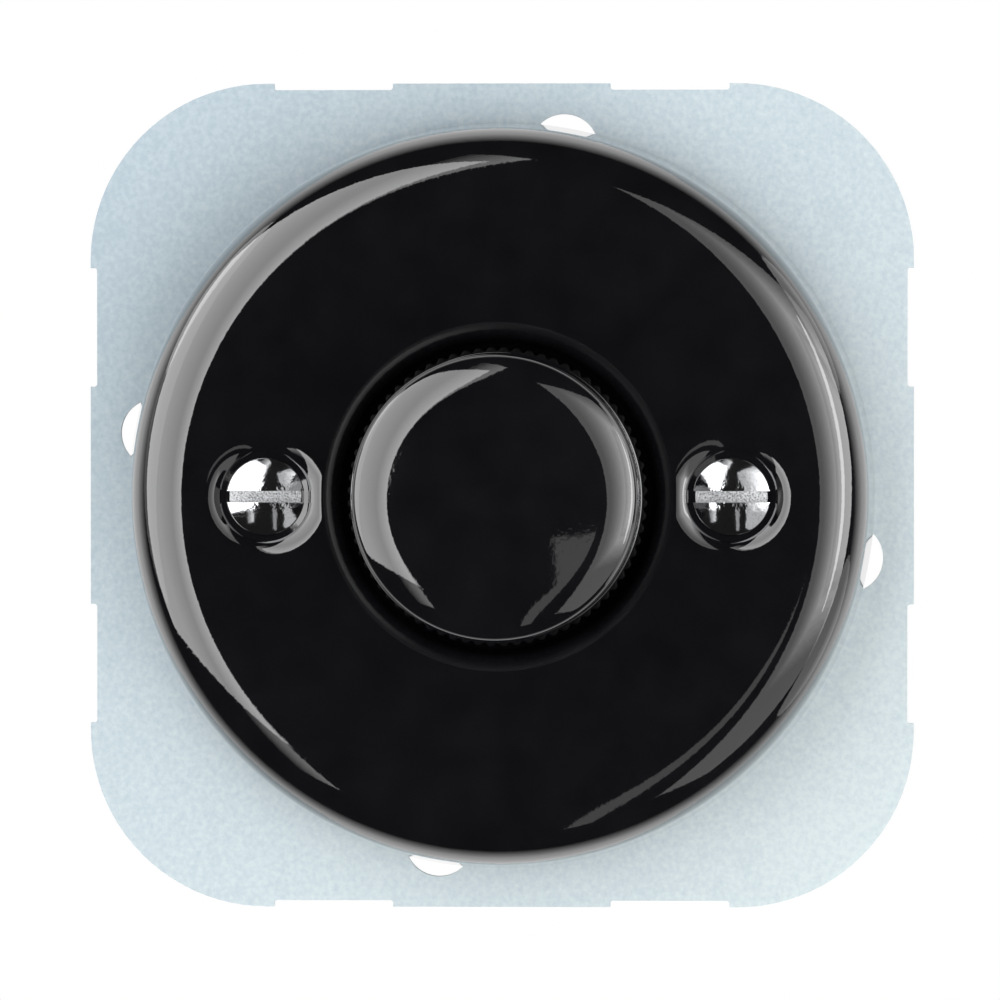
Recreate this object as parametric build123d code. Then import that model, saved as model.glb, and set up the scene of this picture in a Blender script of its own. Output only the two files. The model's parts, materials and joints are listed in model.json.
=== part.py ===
from build123d import *
import os
from math import cos, hypot, radians, sin, sqrt, tan

# Flush-mounted rotary push dimmer: porcelain cover and knob in front of a steel
# support plate, with the dimmer module behind it. Lengths are in millimetres.
# Pieces are drawn lying face up: X to the right, Y up the wall, Z out of the wall,
# with Z = 0 on the back of the support plate. UPRIGHT then stands them on the wall.
UPRIGHT = Rot(90, 0, 0)

# Support plate
PLATE_SIDE = 70.0
PLATE_THICK = 1.0
PLATE_CORNER_R = 15.0
NOTCH_LENGTH = 10.1
NOTCH_DEPTH = 0.55
NOTCH_SPACING = 28.6
NOTCH_ROUND = 0.25
BOX_SCREW_SPACING = 60.0
KEYHOLE_COUNT = 4
KEYHOLE_R = 2.9
KEYHOLE_LEAD = 10.2
SLOT_WIDTH = 3.3
SLOT_SWEEP = 32.0
POCKET_DEPTH = 1.0
POCKET_GAP = 0.5
BEND_R = 0.3

# Porcelain cover
COVER_FOOT_R = 31.7
COVER_HEIGHT = 10.5
COVER_DRAFT = 6.0
COVER_SHOULDER_R = 5.0
COVER_FACE_THICK = 4.0
COVER_INNER_GAP = 0.3
COVER_INNER_ROUND = 1.5
COVER_FOOT_ROUND = 0.4
WELL_GAP = 1.2
WELL_DEPTH = 3.4
WELL_LIP_R = 1.5
WELL_FILLET_R = 1.3
WELL_WALL = 2.8
COVER_HOLE_R = 5.6

# Cover screws, their dishes and posts
COVER_SCREW_SPACING = 39.0
COVER_SCREW_R = 1.75
COVER_SCREW_HEAD_R = 3.3
COVER_SCREW_DOME = 0.95
COVER_SCREW_SLOT_WIDTH = 0.95
COVER_SCREW_SLOT_DEPTH = 1.2
COVER_SCREW_LENGTH = 8.8
SCREW_HOLE_CLEARANCE = 0.35
SCREW_SEAT_CLEARANCE = 0.03
DISH_R = 4.85
DISH_LIP_R = 2.1
SCREW_BOSS_R = 4.6
SCREW_BOSS_DROP = 1.2
POST_R = 2.6
POST_SHANK_R = 2.25
POST_SHANK_SHORT = 0.1
POST_SHANK_GAP = 0.05
POST_SEAT_GAP = 0.02
POST_GAP = 0.25

# Knob
KNOB_R = 11.9
KNOB_HEIGHT = 12.0
KNOB_DOME_R = 80.0
KNOB_SHOULDER_R = 5.5
KNOB_SHOULDER_TURN = 45.0
KNOB_EDGE_R = 1.5
COLLAR_STEP = 0.6
COLLAR_HEIGHT = 2.5
KNOB_FLOAT = 2.4
KNOB_CROWN_THICK = 3.0
KNOB_HOLLOW_INNER_R = 6.6
KNOB_HOLLOW_OUTER_R = 8.9
KNOB_HOLLOW_DEPTH = 6.0
FLUTE_COUNT = 72
FLUTE_DEPTH = 0.3
FLUTE_SHARE = 0.62
SLEEVE_R = 4.5
SLEEVE_DROP = 1.0
SLEEVE_FLANGE_R = 5.2
SLEEVE_FLANGE_THICK = 1.0

# Shaft, bushing and potentiometer
SHAFT_R = 3.0
SHAFT_FLAT = 1.5
SHAFT_TAIL_R = 2.5
SHAFT_TAIL_FLATS = 3.6
SHAFT_TOP_GAP = 0.4
RUNNING_GAP = 0.05
PUSH_TRAVEL = 1.5
BUSHING_R = 4.5
BUSHING_RISE = 4.5
BUSHING_HOLE_GAP = 0.1
POT_R = 10.0
POT_FLANGE_THICK = 1.0
POT_DEPTH = 7.0
POT_WALL = 0.7
TRACK_THICK = 0.9
TRACK_INNER_R = 4.2
TRACK_GAP = 0.1
ROTOR_GAP = 0.7
ROTOR_THICK = 1.8
ROTOR_HUB_R = 3.9
BRUSH_THICK = 0.25
BRUSH_INNER_R = 4.9
BRUSH_INSET = 0.5
BRUSH_SWEEP = 70.0
BRUSH_TIP_R = 0.5
RING_R = 4.6
RING_THICK = 0.7
RING_GROOVE_R = 2.3
RING_MOUTH = 3.4
NUT_FLATS = 12.0
NUT_HEIGHT = 2.0
WASHER_R = 7.2
WASHER_THICK = 0.6
WASHER_TEETH = 12
WASHER_SLOT = 0.8
WASHER_SLOT_DEPTH = 1.2

# Push switch
PLUNGER_STEM_R = 2.6
PLUNGER_FLANGE_R = 4.6
PLUNGER_FLANGE_THICK = 1.4
PLUNGER_PIN_R = 1.7
PLUNGER_PIN_LENGTH = 1.0
PLUNGER_SLIDE_GAP = 0.08
SHAFT_TO_BOARD = 1.2
SWITCH_SIDE = 16.0
SWITCH_CORNER_R = 1.5
SWITCH_DEPTH = 7.4
SWITCH_WALL = 1.0
SPRING_WIRE_R = 0.25
SPRING_R = 2.5
SPRING_TURNS = 4
BRIDGE_THICK = 0.3
BRIDGE_INNER_R = 3.3
BRIDGE_REACH = 6.2
BRIDGE_WIDTH = 2.2
CONTACT_WIDTH = 1.6
CONTACT_GAP = 0.3

# Dimmer module
MODULE_WIDTH = 45.0
MODULE_HEIGHT = 41.0
MODULE_CORNER_R = 10.0
MODULE_DEPTH = 24.0
MODULE_EDGE_R = 1.0
MODULE_WALL = 1.6
MODULE_FLOOR = 1.5
LID_THICK = 2.0
LID_LIP_DEPTH = 1.4
LID_LIP_THICK = 1.0
LID_GAP = 0.15
BOSS_R = 3.0
BOSS_CLEARANCE = 0.3
MODULE_SCREW_R = 1.25
MODULE_SCREW_HEAD_R = 2.6
MODULE_SCREW_HEAD = 1.7
MODULE_SCREW_LENGTH = 12.0
MODULE_SCREW_SLOT = 0.8
PILOT_GAP = 0.05
VENT_COUNT = 6
VENT_WIDTH = 1.3
VENT_LENGTH = 9.0
VENT_PITCH = 3.2
VENT_FROM_TOP = 10.0
BOARD_THICK = 1.6
BOARD_GAP = 0.3
BOARD_RIB = 1.6
BOARD_RIB_FROM_BOTTOM = 12.5

# Circuit on the board
CHOKE_SIDE_GAP = 0.55
CHOKE_RING = 3.3
CHOKE_HEIGHT = 6.0
CHOKE_WIRE = 0.7
CHOKE_GAP = 0.1
CHOKE_SWEEP = 310.0
FILM_SIDE_GAP = 1.2
FILM_BREADTH = 6.0
FILM_HEIGHT = 9.0
BULK_R = 4.0
BULK_HEIGHT = 9.5
BULK_ROUND = 0.6
TRANSISTOR_SIDE_GAP = 1.15
TRANSISTOR_LENGTH = 10.0
TRANSISTOR_HEIGHT = 4.5
TRANSISTOR_TAB = 1.3
TRANSISTOR_TAB_LENGTH = 4.0
TRANSISTOR_HOLE_R = 1.0
FUSE_R = 2.5
FUSE_LENGTH = 20.0
FUSE_CAP_LENGTH = 5.0
FUSE_GLASS_STEP = 0.2
CLIP_THICK = 0.5
CLIP_WIDTH = 3.6
CLIP_STAND = 1.0
PART_GAP = 0.5

# Wire terminals
TERMINAL_COUNT = 3
TERMINAL_PITCH = 8.5
TERMINAL_SIDE = 5.6
TERMINAL_HEIGHT = 7.4
TERMINAL_GAP = 0.3
WIRE_ENTRY_R = 2.2
WIRE_BORE_R = 1.6
WIRE_DEPTH = 4.0
TERMINAL_SCREW_R = 1.4
TERMINAL_SCREW_HEAD_R = 2.2
TERMINAL_SCREW_HEAD = 1.6
TERMINAL_SCREW_SLOT = 0.7
TERMINAL_SCREW_REACH = 1.6
ACCESS_HOLE_R = 2.5

# Levels, from the front to the back
PAD_BACK = POCKET_DEPTH
PAD_FRONT = PAD_BACK + PLATE_THICK
COVER_TOP = PLATE_THICK + COVER_HEIGHT
CEILING = COVER_TOP - COVER_FACE_THICK
WELL_FLOOR = COVER_TOP - WELL_DEPTH
WELL_UNDERSIDE = WELL_FLOOR - WELL_WALL
SCREW_BOSS_FOOT = CEILING - SCREW_BOSS_DROP
LIP_END_R = DISH_R - DISH_LIP_R * sin(radians(45))
LIP_END = COVER_TOP - DISH_LIP_R * (1 - cos(radians(45)))
SEAT_R = COVER_SCREW_HEAD_R + SCREW_SEAT_CLEARANCE * sqrt(2)
HEAD_LEVEL = LIP_END - LIP_END_R + SEAT_R
KNOB_FOOT = WELL_FLOOR + KNOB_FLOAT
KNOB_TOP = KNOB_FOOT + KNOB_HEIGHT
SHAFT_TOP = KNOB_TOP - KNOB_CROWN_THICK - SHAFT_TOP_GAP
LID_BACK = PAD_BACK - LID_THICK
POT_FRONT = LID_BACK - POT_FLANGE_THICK
RING_FRONT = POT_FRONT - RUNNING_GAP
RING_BACK = RING_FRONT - RING_THICK
TAIL_START = RING_BACK - RUNNING_GAP
POT_BACK = POT_FRONT - POT_DEPTH
POT_FLOOR = POT_BACK + POT_WALL
TRACK_FRONT = POT_FLOOR + TRACK_THICK
ROTOR_FRONT = TAIL_START - PUSH_TRAVEL - 2 * RUNNING_GAP
ROTOR_BACK = ROTOR_FRONT - ROTOR_THICK
BOARD_FRONT = POT_BACK
BOARD_BACK = BOARD_FRONT - BOARD_THICK
SHAFT_END = BOARD_FRONT - SHAFT_TO_BOARD
FLANGE_FRONT = BOARD_BACK - RUNNING_GAP
FLANGE_BACK = FLANGE_FRONT - PLUNGER_FLANGE_THICK
SWITCH_BACK = BOARD_BACK - SWITCH_DEPTH
SWITCH_FLOOR = SWITCH_BACK + SWITCH_WALL
MODULE_BACK = PAD_BACK - MODULE_DEPTH
BASE_FLOOR = MODULE_BACK + MODULE_FLOOR
TERMINAL_BACK = BOARD_BACK - TERMINAL_HEIGHT
WIRE_LEVEL = BOARD_BACK - WIRE_DEPTH

# Places in the drawing plane
COLLAR_R = KNOB_R + COLLAR_STEP
WELL_R = KNOB_R + WELL_GAP
WELL_BOSS_R = WELL_R + WELL_WALL
POCKET_WIDTH = MODULE_WIDTH + 2 * POCKET_GAP
POCKET_HEIGHT = MODULE_HEIGHT + 2 * POCKET_GAP
POCKET_CORNER_R = MODULE_CORNER_R + POCKET_GAP
CORNER_X = MODULE_WIDTH / 2 - MODULE_CORNER_R
CORNER_Y = MODULE_HEIGHT / 2 - MODULE_CORNER_R
PAD_REACH = hypot(CORNER_X, CORNER_Y) + POCKET_CORNER_R + PLATE_THICK
COVER_INNER_R = PAD_REACH + COVER_INNER_GAP
INSIDE_X = MODULE_WIDTH / 2 - MODULE_WALL
INSIDE_Y = MODULE_HEIGHT / 2 - MODULE_WALL
BOSS_OUT = (MODULE_CORNER_R - MODULE_WALL - BOSS_R + BOSS_CLEARANCE) / sqrt(2)
BOSS_PLACES = [
    (i * (CORNER_X + BOSS_OUT), j * (CORNER_Y + BOSS_OUT)) for i in (-1, 1) for j in (-1, 1)
]
SCREW_PLACES = [(i * COVER_SCREW_SPACING / 2, 0) for i in (-1, 1)]
TERMINAL_Y = -INSIDE_Y + TERMINAL_GAP + TERMINAL_SIDE / 2
TERMINAL_PLACES = [
    ((i - (TERMINAL_COUNT - 1) / 2) * TERMINAL_PITCH, TERMINAL_Y) for i in range(TERMINAL_COUNT)
]
ROTOR_R = POT_R - POT_WALL - ROTOR_GAP
BRUSH_OUTER_R = ROTOR_R - BRUSH_INSET
SIDE_X = (SWITCH_SIDE / 2 + INSIDE_X) / 2
SIDE_ROOM = INSIDE_X - SWITCH_SIDE / 2
CHOKE_R = SIDE_ROOM / 2 - CHOKE_SIDE_GAP
CHOKE_HOLE_R = CHOKE_R - CHOKE_RING
FILM_WIDTH = SIDE_ROOM - 2 * FILM_SIDE_GAP
TRANSISTOR_X = (POT_R + INSIDE_X) / 2
TRANSISTOR_WIDTH = INSIDE_X - POT_R - 2 * TRANSISTOR_SIDE_GAP
FUSE_Y = INSIDE_Y - PART_GAP - FUSE_R - CLIP_THICK
FUSE_LEVEL = BOARD_BACK - CLIP_STAND - CLIP_THICK - FUSE_R


# Shapes used by several pieces
def rod(radius, low, high):
    """Round bar along Z."""
    return Pos(0, 0, low) * Cylinder(
        radius, high - low, align=(Align.CENTER, Align.CENTER, Align.MIN)
    )


def tube(outer, inner, low, high):
    """Round bar with a round bore."""
    return rod(outer, low, high) - rod(inner, low, high)


def slab(width, height, corner, low, high):
    """Plate with rounded corners, between two levels."""
    return Pos(0, 0, low) * extrude(RectangleRounded(width, height, corner), high - low)


def block(width, height, low, high):
    """Plain block between two levels."""
    return Pos(0, 0, low) * Box(
        width, height, high - low, align=(Align.CENTER, Align.CENTER, Align.MIN)
    )


def turned(outline, sweep=360):
    """Half section in radius and height, turned about Z."""
    return revolve(make_face(Plane.XZ * outline), Axis.Z, sweep)


def at(places, shape):
    """One copy of a shape at each place."""
    return [Pos(x, y, 0) * shape for x, y in places]


def group(shapes):
    """Like pieces kept as separate solids under one name."""
    return Compound([solid for shape in shapes for solid in shape.solids()])


def two_flats(radius, across, low, high):
    """Round bar milled flat on two sides."""
    return rod(radius, low, high) & block(across, 2 * radius, low, high)


def d_bar(radius, flat, low, high):
    """Round bar milled flat on one side."""
    return rod(radius, low, high) & Pos(flat - radius, 0, 0) * block(
        2 * radius, 2 * radius, low, high
    )


# The plate and what is fixed to it
def keyholes():
    """Round openings with curved slots that run on from them."""
    pitch_r = BOX_SCREW_SPACING / 2
    cuts = Sketch()
    for i in range(KEYHOLE_COUNT):
        start = 360 * i / KEYHOLE_COUNT - KEYHOLE_LEAD
        cuts += Rot(0, 0, start) * Pos(pitch_r, 0) * Circle(KEYHOLE_R)
        cuts += SlotArc(CenterArc((0, 0), pitch_r, start, SLOT_SWEEP), SLOT_WIDTH)
    return cuts


def plate_outline():
    """Square with rounded corners and two shallow notches on each edge."""
    outline = RectangleRounded(PLATE_SIDE, PLATE_SIDE, PLATE_CORNER_R)
    for turn in (0, 90, 180, 270):
        for side in (-1, 1):
            notch = Pos(PLATE_SIDE / 2, side * NOTCH_SPACING / 2) * RectangleRounded(
                2 * NOTCH_DEPTH, NOTCH_LENGTH, NOTCH_ROUND
            )
            outline -= Rot(0, 0, turn) * notch
    return outline


def support_plate():
    """Sheet with a pad drawn forward that takes the module on its back."""
    sheet = extrude(plate_outline() - keyholes(), PLATE_THICK)
    pad = slab(
        POCKET_WIDTH + 2 * PLATE_THICK,
        POCKET_HEIGHT + 2 * PLATE_THICK,
        POCKET_CORNER_R + PLATE_THICK,
        0,
        PAD_FRONT,
    )
    pad = fillet(pad.edges().group_by(Axis.Z)[-1], BEND_R + PLATE_THICK)
    pocket = slab(POCKET_WIDTH, POCKET_HEIGHT, POCKET_CORNER_R, 0, PAD_BACK)
    pocket = fillet(pocket.edges().group_by(Axis.Z)[-1], BEND_R)
    plate = sheet + pad - pocket
    plate -= rod(BUSHING_R + BUSHING_HOLE_GAP, 0, PAD_FRONT)
    for hole in at(SCREW_PLACES, rod(POST_SHANK_R + POST_SHANK_GAP, 0, PAD_FRONT)):
        plate -= hole
    for hole in at(BOSS_PLACES, rod(MODULE_SCREW_R + BUSHING_HOLE_GAP, 0, PAD_FRONT)):
        plate -= hole
    return plate


def screw_posts():
    """Threaded posts swaged into the pad."""
    top = SCREW_BOSS_FOOT - POST_GAP
    seat = PAD_FRONT + POST_SEAT_GAP
    foot = PAD_BACK + POST_SHANK_SHORT
    post = rod(POST_R, seat, top) + rod(POST_SHANK_R, foot, seat)
    post -= rod(COVER_SCREW_R + PILOT_GAP, foot, top)
    return group(at(SCREW_PLACES, post))


# Porcelain cover and its screws
def cover_profile():
    """Half section of the cover: drafted flank, shoulder, flat face, well and hollow."""
    draft = radians(COVER_DRAFT)
    shoulder_low = COVER_TOP - COVER_SHOULDER_R + COVER_SHOULDER_R * sin(draft)
    flank_r = COVER_FOOT_R - (shoulder_low - PLATE_THICK) * tan(draft)
    crest_r = flank_r - COVER_SHOULDER_R * cos(draft)
    lip_r = WELL_R + WELL_LIP_R
    fillet_r = WELL_R - WELL_FILLET_R
    inner_top_r = COVER_INNER_R - (CEILING - PLATE_THICK) * tan(draft)
    foot_out = COVER_FOOT_R - COVER_FOOT_ROUND
    foot_top = PLATE_THICK + COVER_FOOT_ROUND
    return (
        TangentArc((foot_out, PLATE_THICK), (COVER_FOOT_R, foot_top), tangent=(1, 0))
        + Line((COVER_FOOT_R, foot_top), (flank_r, shoulder_low))
        + TangentArc((crest_r, COVER_TOP), (flank_r, shoulder_low), tangent=(1, 0))
        + Line((crest_r, COVER_TOP), (lip_r, COVER_TOP))
        + TangentArc((lip_r, COVER_TOP), (WELL_R, COVER_TOP - WELL_LIP_R), tangent=(-1, 0))
        + Line((WELL_R, COVER_TOP - WELL_LIP_R), (WELL_R, WELL_FLOOR + WELL_FILLET_R))
        + TangentArc((WELL_R, WELL_FLOOR + WELL_FILLET_R), (fillet_r, WELL_FLOOR), tangent=(0, -1))
        + Polyline(
            (fillet_r, WELL_FLOOR),
            (COVER_HOLE_R, WELL_FLOOR),
            (COVER_HOLE_R, WELL_UNDERSIDE),
            (WELL_BOSS_R, WELL_UNDERSIDE),
            (WELL_BOSS_R, CEILING),
            (inner_top_r - COVER_INNER_ROUND, CEILING),
        )
        + TangentArc(
            (inner_top_r - COVER_INNER_ROUND, CEILING),
            (inner_top_r, CEILING - COVER_INNER_ROUND),
            tangent=(1, 0),
        )
        + Polyline(
            (inner_top_r, CEILING - COVER_INNER_ROUND),
            (COVER_INNER_R, PLATE_THICK),
            (foot_out, PLATE_THICK),
        )
    )


def dish_cutter():
    """Screw dish: a wide rounded lip that runs into the countersink, and the hole below."""
    hole_r = COVER_SCREW_R + SCREW_HOLE_CLEARANCE
    outline = TangentArc((DISH_R, COVER_TOP), (LIP_END_R, LIP_END), tangent=(-1, 0)) + Polyline(
        (LIP_END_R, LIP_END),
        (hole_r, LIP_END - LIP_END_R + hole_r),
        (hole_r, SCREW_BOSS_FOOT),
        (0, SCREW_BOSS_FOOT),
        (0, COVER_TOP),
        (DISH_R, COVER_TOP),
    )
    return turned(outline)


def porcelain_cover():
    """Round cover with a well for the knob, two screw dishes and bosses under them."""
    cover = turned(cover_profile())
    for boss in at(SCREW_PLACES, rod(SCREW_BOSS_R, SCREW_BOSS_FOOT, CEILING)):
        cover += boss
    for dish in at(SCREW_PLACES, dish_cutter()):
        cover -= dish
    return cover


def cover_screws():
    """Raised countersunk screws with a straight slot."""
    dome_r = (COVER_SCREW_HEAD_R**2 + COVER_SCREW_DOME**2) / (2 * COVER_SCREW_DOME)
    top = HEAD_LEVEL + COVER_SCREW_DOME
    cone_foot = HEAD_LEVEL - (COVER_SCREW_HEAD_R - COVER_SCREW_R)
    outline = RadiusArc((0, top), (COVER_SCREW_HEAD_R, HEAD_LEVEL), dome_r) + Polyline(
        (COVER_SCREW_HEAD_R, HEAD_LEVEL),
        (COVER_SCREW_R, cone_foot),
        (COVER_SCREW_R, top - COVER_SCREW_LENGTH),
        (0, top - COVER_SCREW_LENGTH),
        (0, top),
    )
    screw = turned(outline)
    screw -= block(
        2 * COVER_SCREW_HEAD_R, COVER_SCREW_SLOT_WIDTH, top - COVER_SCREW_SLOT_DEPTH, top
    )
    return group(at(SCREW_PLACES, screw))


# Knob
def knob_crown():
    """Shallow dome, wide shoulder and rounded edge above a smooth flank."""
    turn = radians(KNOB_SHOULDER_TURN)
    edge_r = KNOB_R - KNOB_EDGE_R + KNOB_EDGE_R * sin(turn)
    shoulder_x = edge_r - KNOB_SHOULDER_R * sin(turn)
    reach = KNOB_DOME_R - KNOB_SHOULDER_R
    dome_centre = KNOB_TOP - KNOB_DOME_R
    shoulder_rise = sqrt(reach**2 - shoulder_x**2)
    dome_meet = (
        KNOB_DOME_R * shoulder_x / reach,
        dome_centre + KNOB_DOME_R * shoulder_rise / reach,
    )
    edge_meet = (edge_r, dome_centre + shoulder_rise + KNOB_SHOULDER_R * cos(turn))
    edge_foot = (KNOB_R, edge_meet[1] - KNOB_EDGE_R * cos(turn))
    outline = (
        TangentArc((0, KNOB_TOP), dome_meet, tangent=(1, 0))
        + TangentArc(edge_meet, dome_meet, tangent=(-cos(turn), sin(turn)))
        + TangentArc(edge_foot, edge_meet, tangent=(0, 1))
        + Polyline(edge_foot, (KNOB_R, KNOB_FOOT), (0, KNOB_FOOT), (0, KNOB_TOP))
    )
    return turned(outline)


def fluted_section():
    """Circle with a ring of shallow round grooves."""
    step = 360 / FLUTE_COUNT
    groove = step * FLUTE_SHARE / 2
    edges = []
    for i in range(FLUTE_COUNT):
        middle = i * step
        angles = (middle - groove, middle, middle + groove, middle + step / 2, middle + step - groove)
        radii = (COLLAR_R, COLLAR_R - FLUTE_DEPTH, COLLAR_R, COLLAR_R, COLLAR_R)
        a, b, c, d, e = [
            (r * cos(radians(t)), r * sin(radians(t))) for r, t in zip(radii, angles)
        ]
        edges += [ThreePointArc(a, b, c), ThreePointArc(c, d, e)]
    return make_face(edges)


def porcelain_knob():
    """Smooth crown over a fluted collar, hollow below, bored for its sleeve."""
    knob = knob_crown() + Pos(0, 0, KNOB_FOOT) * extrude(fluted_section(), COLLAR_HEIGHT)
    knob -= tube(
        KNOB_HOLLOW_OUTER_R, KNOB_HOLLOW_INNER_R, KNOB_FOOT, KNOB_FOOT + KNOB_HOLLOW_DEPTH
    )
    knob -= rod(SLEEVE_R + SCREW_SEAT_CLEARANCE, KNOB_FOOT, KNOB_TOP - KNOB_CROWN_THICK)
    return knob


def knob_sleeve():
    """Brass sleeve bonded in the knob, with a bore that keys on the shaft."""
    top = KNOB_TOP - KNOB_CROWN_THICK
    foot = KNOB_FOOT - SLEEVE_DROP
    sleeve = rod(SLEEVE_R, foot, top) + rod(
        SLEEVE_FLANGE_R, KNOB_FOOT - SLEEVE_FLANGE_THICK, KNOB_FOOT
    )
    bore_top = SHAFT_TOP + SHAFT_TOP_GAP / 2
    return sleeve - d_bar(SHAFT_R + RUNNING_GAP, SHAFT_FLAT + RUNNING_GAP, foot, bore_top)


# Shaft and potentiometer
def control_shaft():
    """Shaft with a flat for the sleeve, a ring groove and a tail with two flats."""
    flat_start = KNOB_FOOT - SLEEVE_DROP
    shaft = rod(SHAFT_R, RING_FRONT, flat_start) + d_bar(SHAFT_R, SHAFT_FLAT, flat_start, SHAFT_TOP)
    shaft += rod(RING_GROOVE_R, TAIL_START, RING_FRONT)
    return shaft + two_flats(SHAFT_TAIL_R, SHAFT_TAIL_FLATS, SHAFT_END, TAIL_START)


def shaft_ring():
    """Open spring ring that stops the shaft behind the bushing."""
    ring = tube(RING_R, RING_GROOVE_R + RUNNING_GAP, RING_BACK, RING_FRONT)
    return ring - Pos(RING_R, 0, 0) * block(2 * RING_R, RING_MOUTH, RING_BACK, RING_FRONT)


def pot_bushing():
    """Neck that carries the shaft, in one piece with the front of the potentiometer."""
    bushing = rod(BUSHING_R, LID_BACK, PAD_FRONT + BUSHING_RISE) + rod(POT_R, POT_FRONT, LID_BACK)
    return bushing - rod(SHAFT_R + RUNNING_GAP, POT_FRONT, PAD_FRONT + BUSHING_RISE)


def lock_washer():
    """Washer with a ring of teeth round its edge."""
    washer = tube(WASHER_R, BUSHING_R + BUSHING_HOLE_GAP, PAD_FRONT, PAD_FRONT + WASHER_THICK)
    cut = block(2 * WASHER_SLOT_DEPTH, WASHER_SLOT, PAD_FRONT, PAD_FRONT + WASHER_THICK)
    cut = Pos(WASHER_R, 0, 0) * cut
    for i in range(WASHER_TEETH):
        washer -= Rot(0, 0, 360 * i / WASHER_TEETH) * cut
    return washer


def bushing_nut():
    """Hexagon nut that clamps plate and module together."""
    low = PAD_FRONT + WASHER_THICK
    corner_r = NUT_FLATS / sqrt(3)
    nut = Pos(0, 0, low) * extrude(RegularPolygon(corner_r, 6), NUT_HEIGHT)
    return nut - rod(BUSHING_R + PILOT_GAP, low, low + NUT_HEIGHT)


def pot_case():
    """Pressed cup behind the bushing's flange."""
    case = rod(POT_R, POT_BACK, POT_FRONT) - rod(POT_R - POT_WALL, POT_FLOOR, POT_FRONT)
    return case - rod(SHAFT_TAIL_R + BOARD_GAP, POT_BACK, POT_FLOOR)


def resistor_track():
    """Ring-shaped track board on the floor of the case."""
    return tube(POT_R - POT_WALL - TRACK_GAP, TRACK_INNER_R, POT_FLOOR, TRACK_FRONT)


def wiper_rotor():
    """Disc with a hub, keyed on the two flats of the shaft's tail."""
    rotor = rod(ROTOR_R, ROTOR_BACK, ROTOR_FRONT)
    rotor += rod(ROTOR_HUB_R, POT_FLOOR + RUNNING_GAP, ROTOR_BACK)
    return rotor - two_flats(
        SHAFT_TAIL_R + RUNNING_GAP, SHAFT_TAIL_FLATS + 2 * RUNNING_GAP, POT_FLOOR, ROTOR_FRONT
    )


def wiper_brush():
    """Spring leaf under the rotor with two contact tips over the track."""
    back = ROTOR_BACK - BRUSH_THICK
    leaf = turned(
        Polyline(
            (BRUSH_INNER_R, back),
            (BRUSH_OUTER_R, back),
            (BRUSH_OUTER_R, ROTOR_BACK),
            (BRUSH_INNER_R, ROTOR_BACK),
            close=True,
        ),
        BRUSH_SWEEP,
    )
    tip = rod(BRUSH_TIP_R, TRACK_FRONT + RUNNING_GAP, back)
    for radius in (BRUSH_INNER_R + 2 * BRUSH_TIP_R, BRUSH_OUTER_R - 2 * BRUSH_TIP_R):
        leaf += Rot(0, 0, BRUSH_SWEEP / 2) * Pos(radius, 0, 0) * tip
    return leaf


# Push switch
def switch_case():
    """Open box whose rim sits on the back of the board."""
    inside = SWITCH_SIDE - 2 * SWITCH_WALL
    case = slab(SWITCH_SIDE, SWITCH_SIDE, SWITCH_CORNER_R, SWITCH_BACK, BOARD_BACK)
    return case - block(inside, inside, SWITCH_FLOOR, BOARD_BACK)


def switch_plunger():
    """Stem under the shaft's end, with a flange for the spring."""
    plunger = rod(PLUNGER_STEM_R, FLANGE_FRONT, SHAFT_END)
    plunger += rod(PLUNGER_FLANGE_R, FLANGE_BACK, FLANGE_FRONT)
    return plunger + rod(PLUNGER_PIN_R, FLANGE_BACK - PLUNGER_PIN_LENGTH, FLANGE_BACK)


def return_spring():
    """Coil between the plunger's flange and the floor of the switch."""
    low = SWITCH_FLOOR + SPRING_WIRE_R + RUNNING_GAP
    height = FLANGE_BACK - SPRING_WIRE_R - RUNNING_GAP - low
    coil = Pos(0, 0, low) * Helix(height / SPRING_TURNS, height, SPRING_R)
    wire = Plane(coil @ 0, z_dir=coil % 0) * Circle(SPRING_WIRE_R)
    return sweep(wire, path=coil, is_frenet=True)


def contact_bridge():
    """Ring on the plunger with two arms that reach over the fixed contacts."""
    back = FLANGE_BACK - BRIDGE_THICK
    bridge = rod(PLUNGER_FLANGE_R, back, FLANGE_BACK)
    bridge += block(BRIDGE_WIDTH, 2 * BRIDGE_REACH, back, FLANGE_BACK)
    return bridge - rod(BRIDGE_INNER_R, back, FLANGE_BACK)


def fixed_contacts():
    """Posts on the floor of the switch, under the arms of the bridge."""
    top = FLANGE_BACK - BRIDGE_THICK - PUSH_TRAVEL - CONTACT_GAP
    place = BRIDGE_REACH - CONTACT_WIDTH / 2
    post = block(CONTACT_WIDTH, CONTACT_WIDTH, SWITCH_FLOOR, top)
    return group(at([(0, -place), (0, place)], post))


# Module housing
def module_lid():
    """Front plate of the module with a lip that centres it in the base."""
    lid = slab(MODULE_WIDTH, MODULE_HEIGHT, MODULE_CORNER_R, LID_BACK, PAD_BACK)
    inset = MODULE_WALL + LID_GAP
    lip_back = LID_BACK - LID_LIP_DEPTH
    width, height, corner = MODULE_WIDTH - 2 * inset, MODULE_HEIGHT - 2 * inset, MODULE_CORNER_R - inset
    lip = slab(width, height, corner, lip_back, LID_BACK)
    lip -= slab(
        width - 2 * LID_LIP_THICK, height - 2 * LID_LIP_THICK, corner - LID_LIP_THICK, lip_back, LID_BACK
    )
    for relief in at(BOSS_PLACES, rod(BOSS_R + BOSS_CLEARANCE, lip_back, LID_BACK)):
        lip -= relief
    lid += lip
    lid -= rod(BUSHING_R + BUSHING_HOLE_GAP, LID_BACK, PAD_BACK)
    for hole in at(BOSS_PLACES, rod(MODULE_SCREW_R + BUSHING_HOLE_GAP, LID_BACK, PAD_BACK)):
        lid -= hole
    return lid


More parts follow.
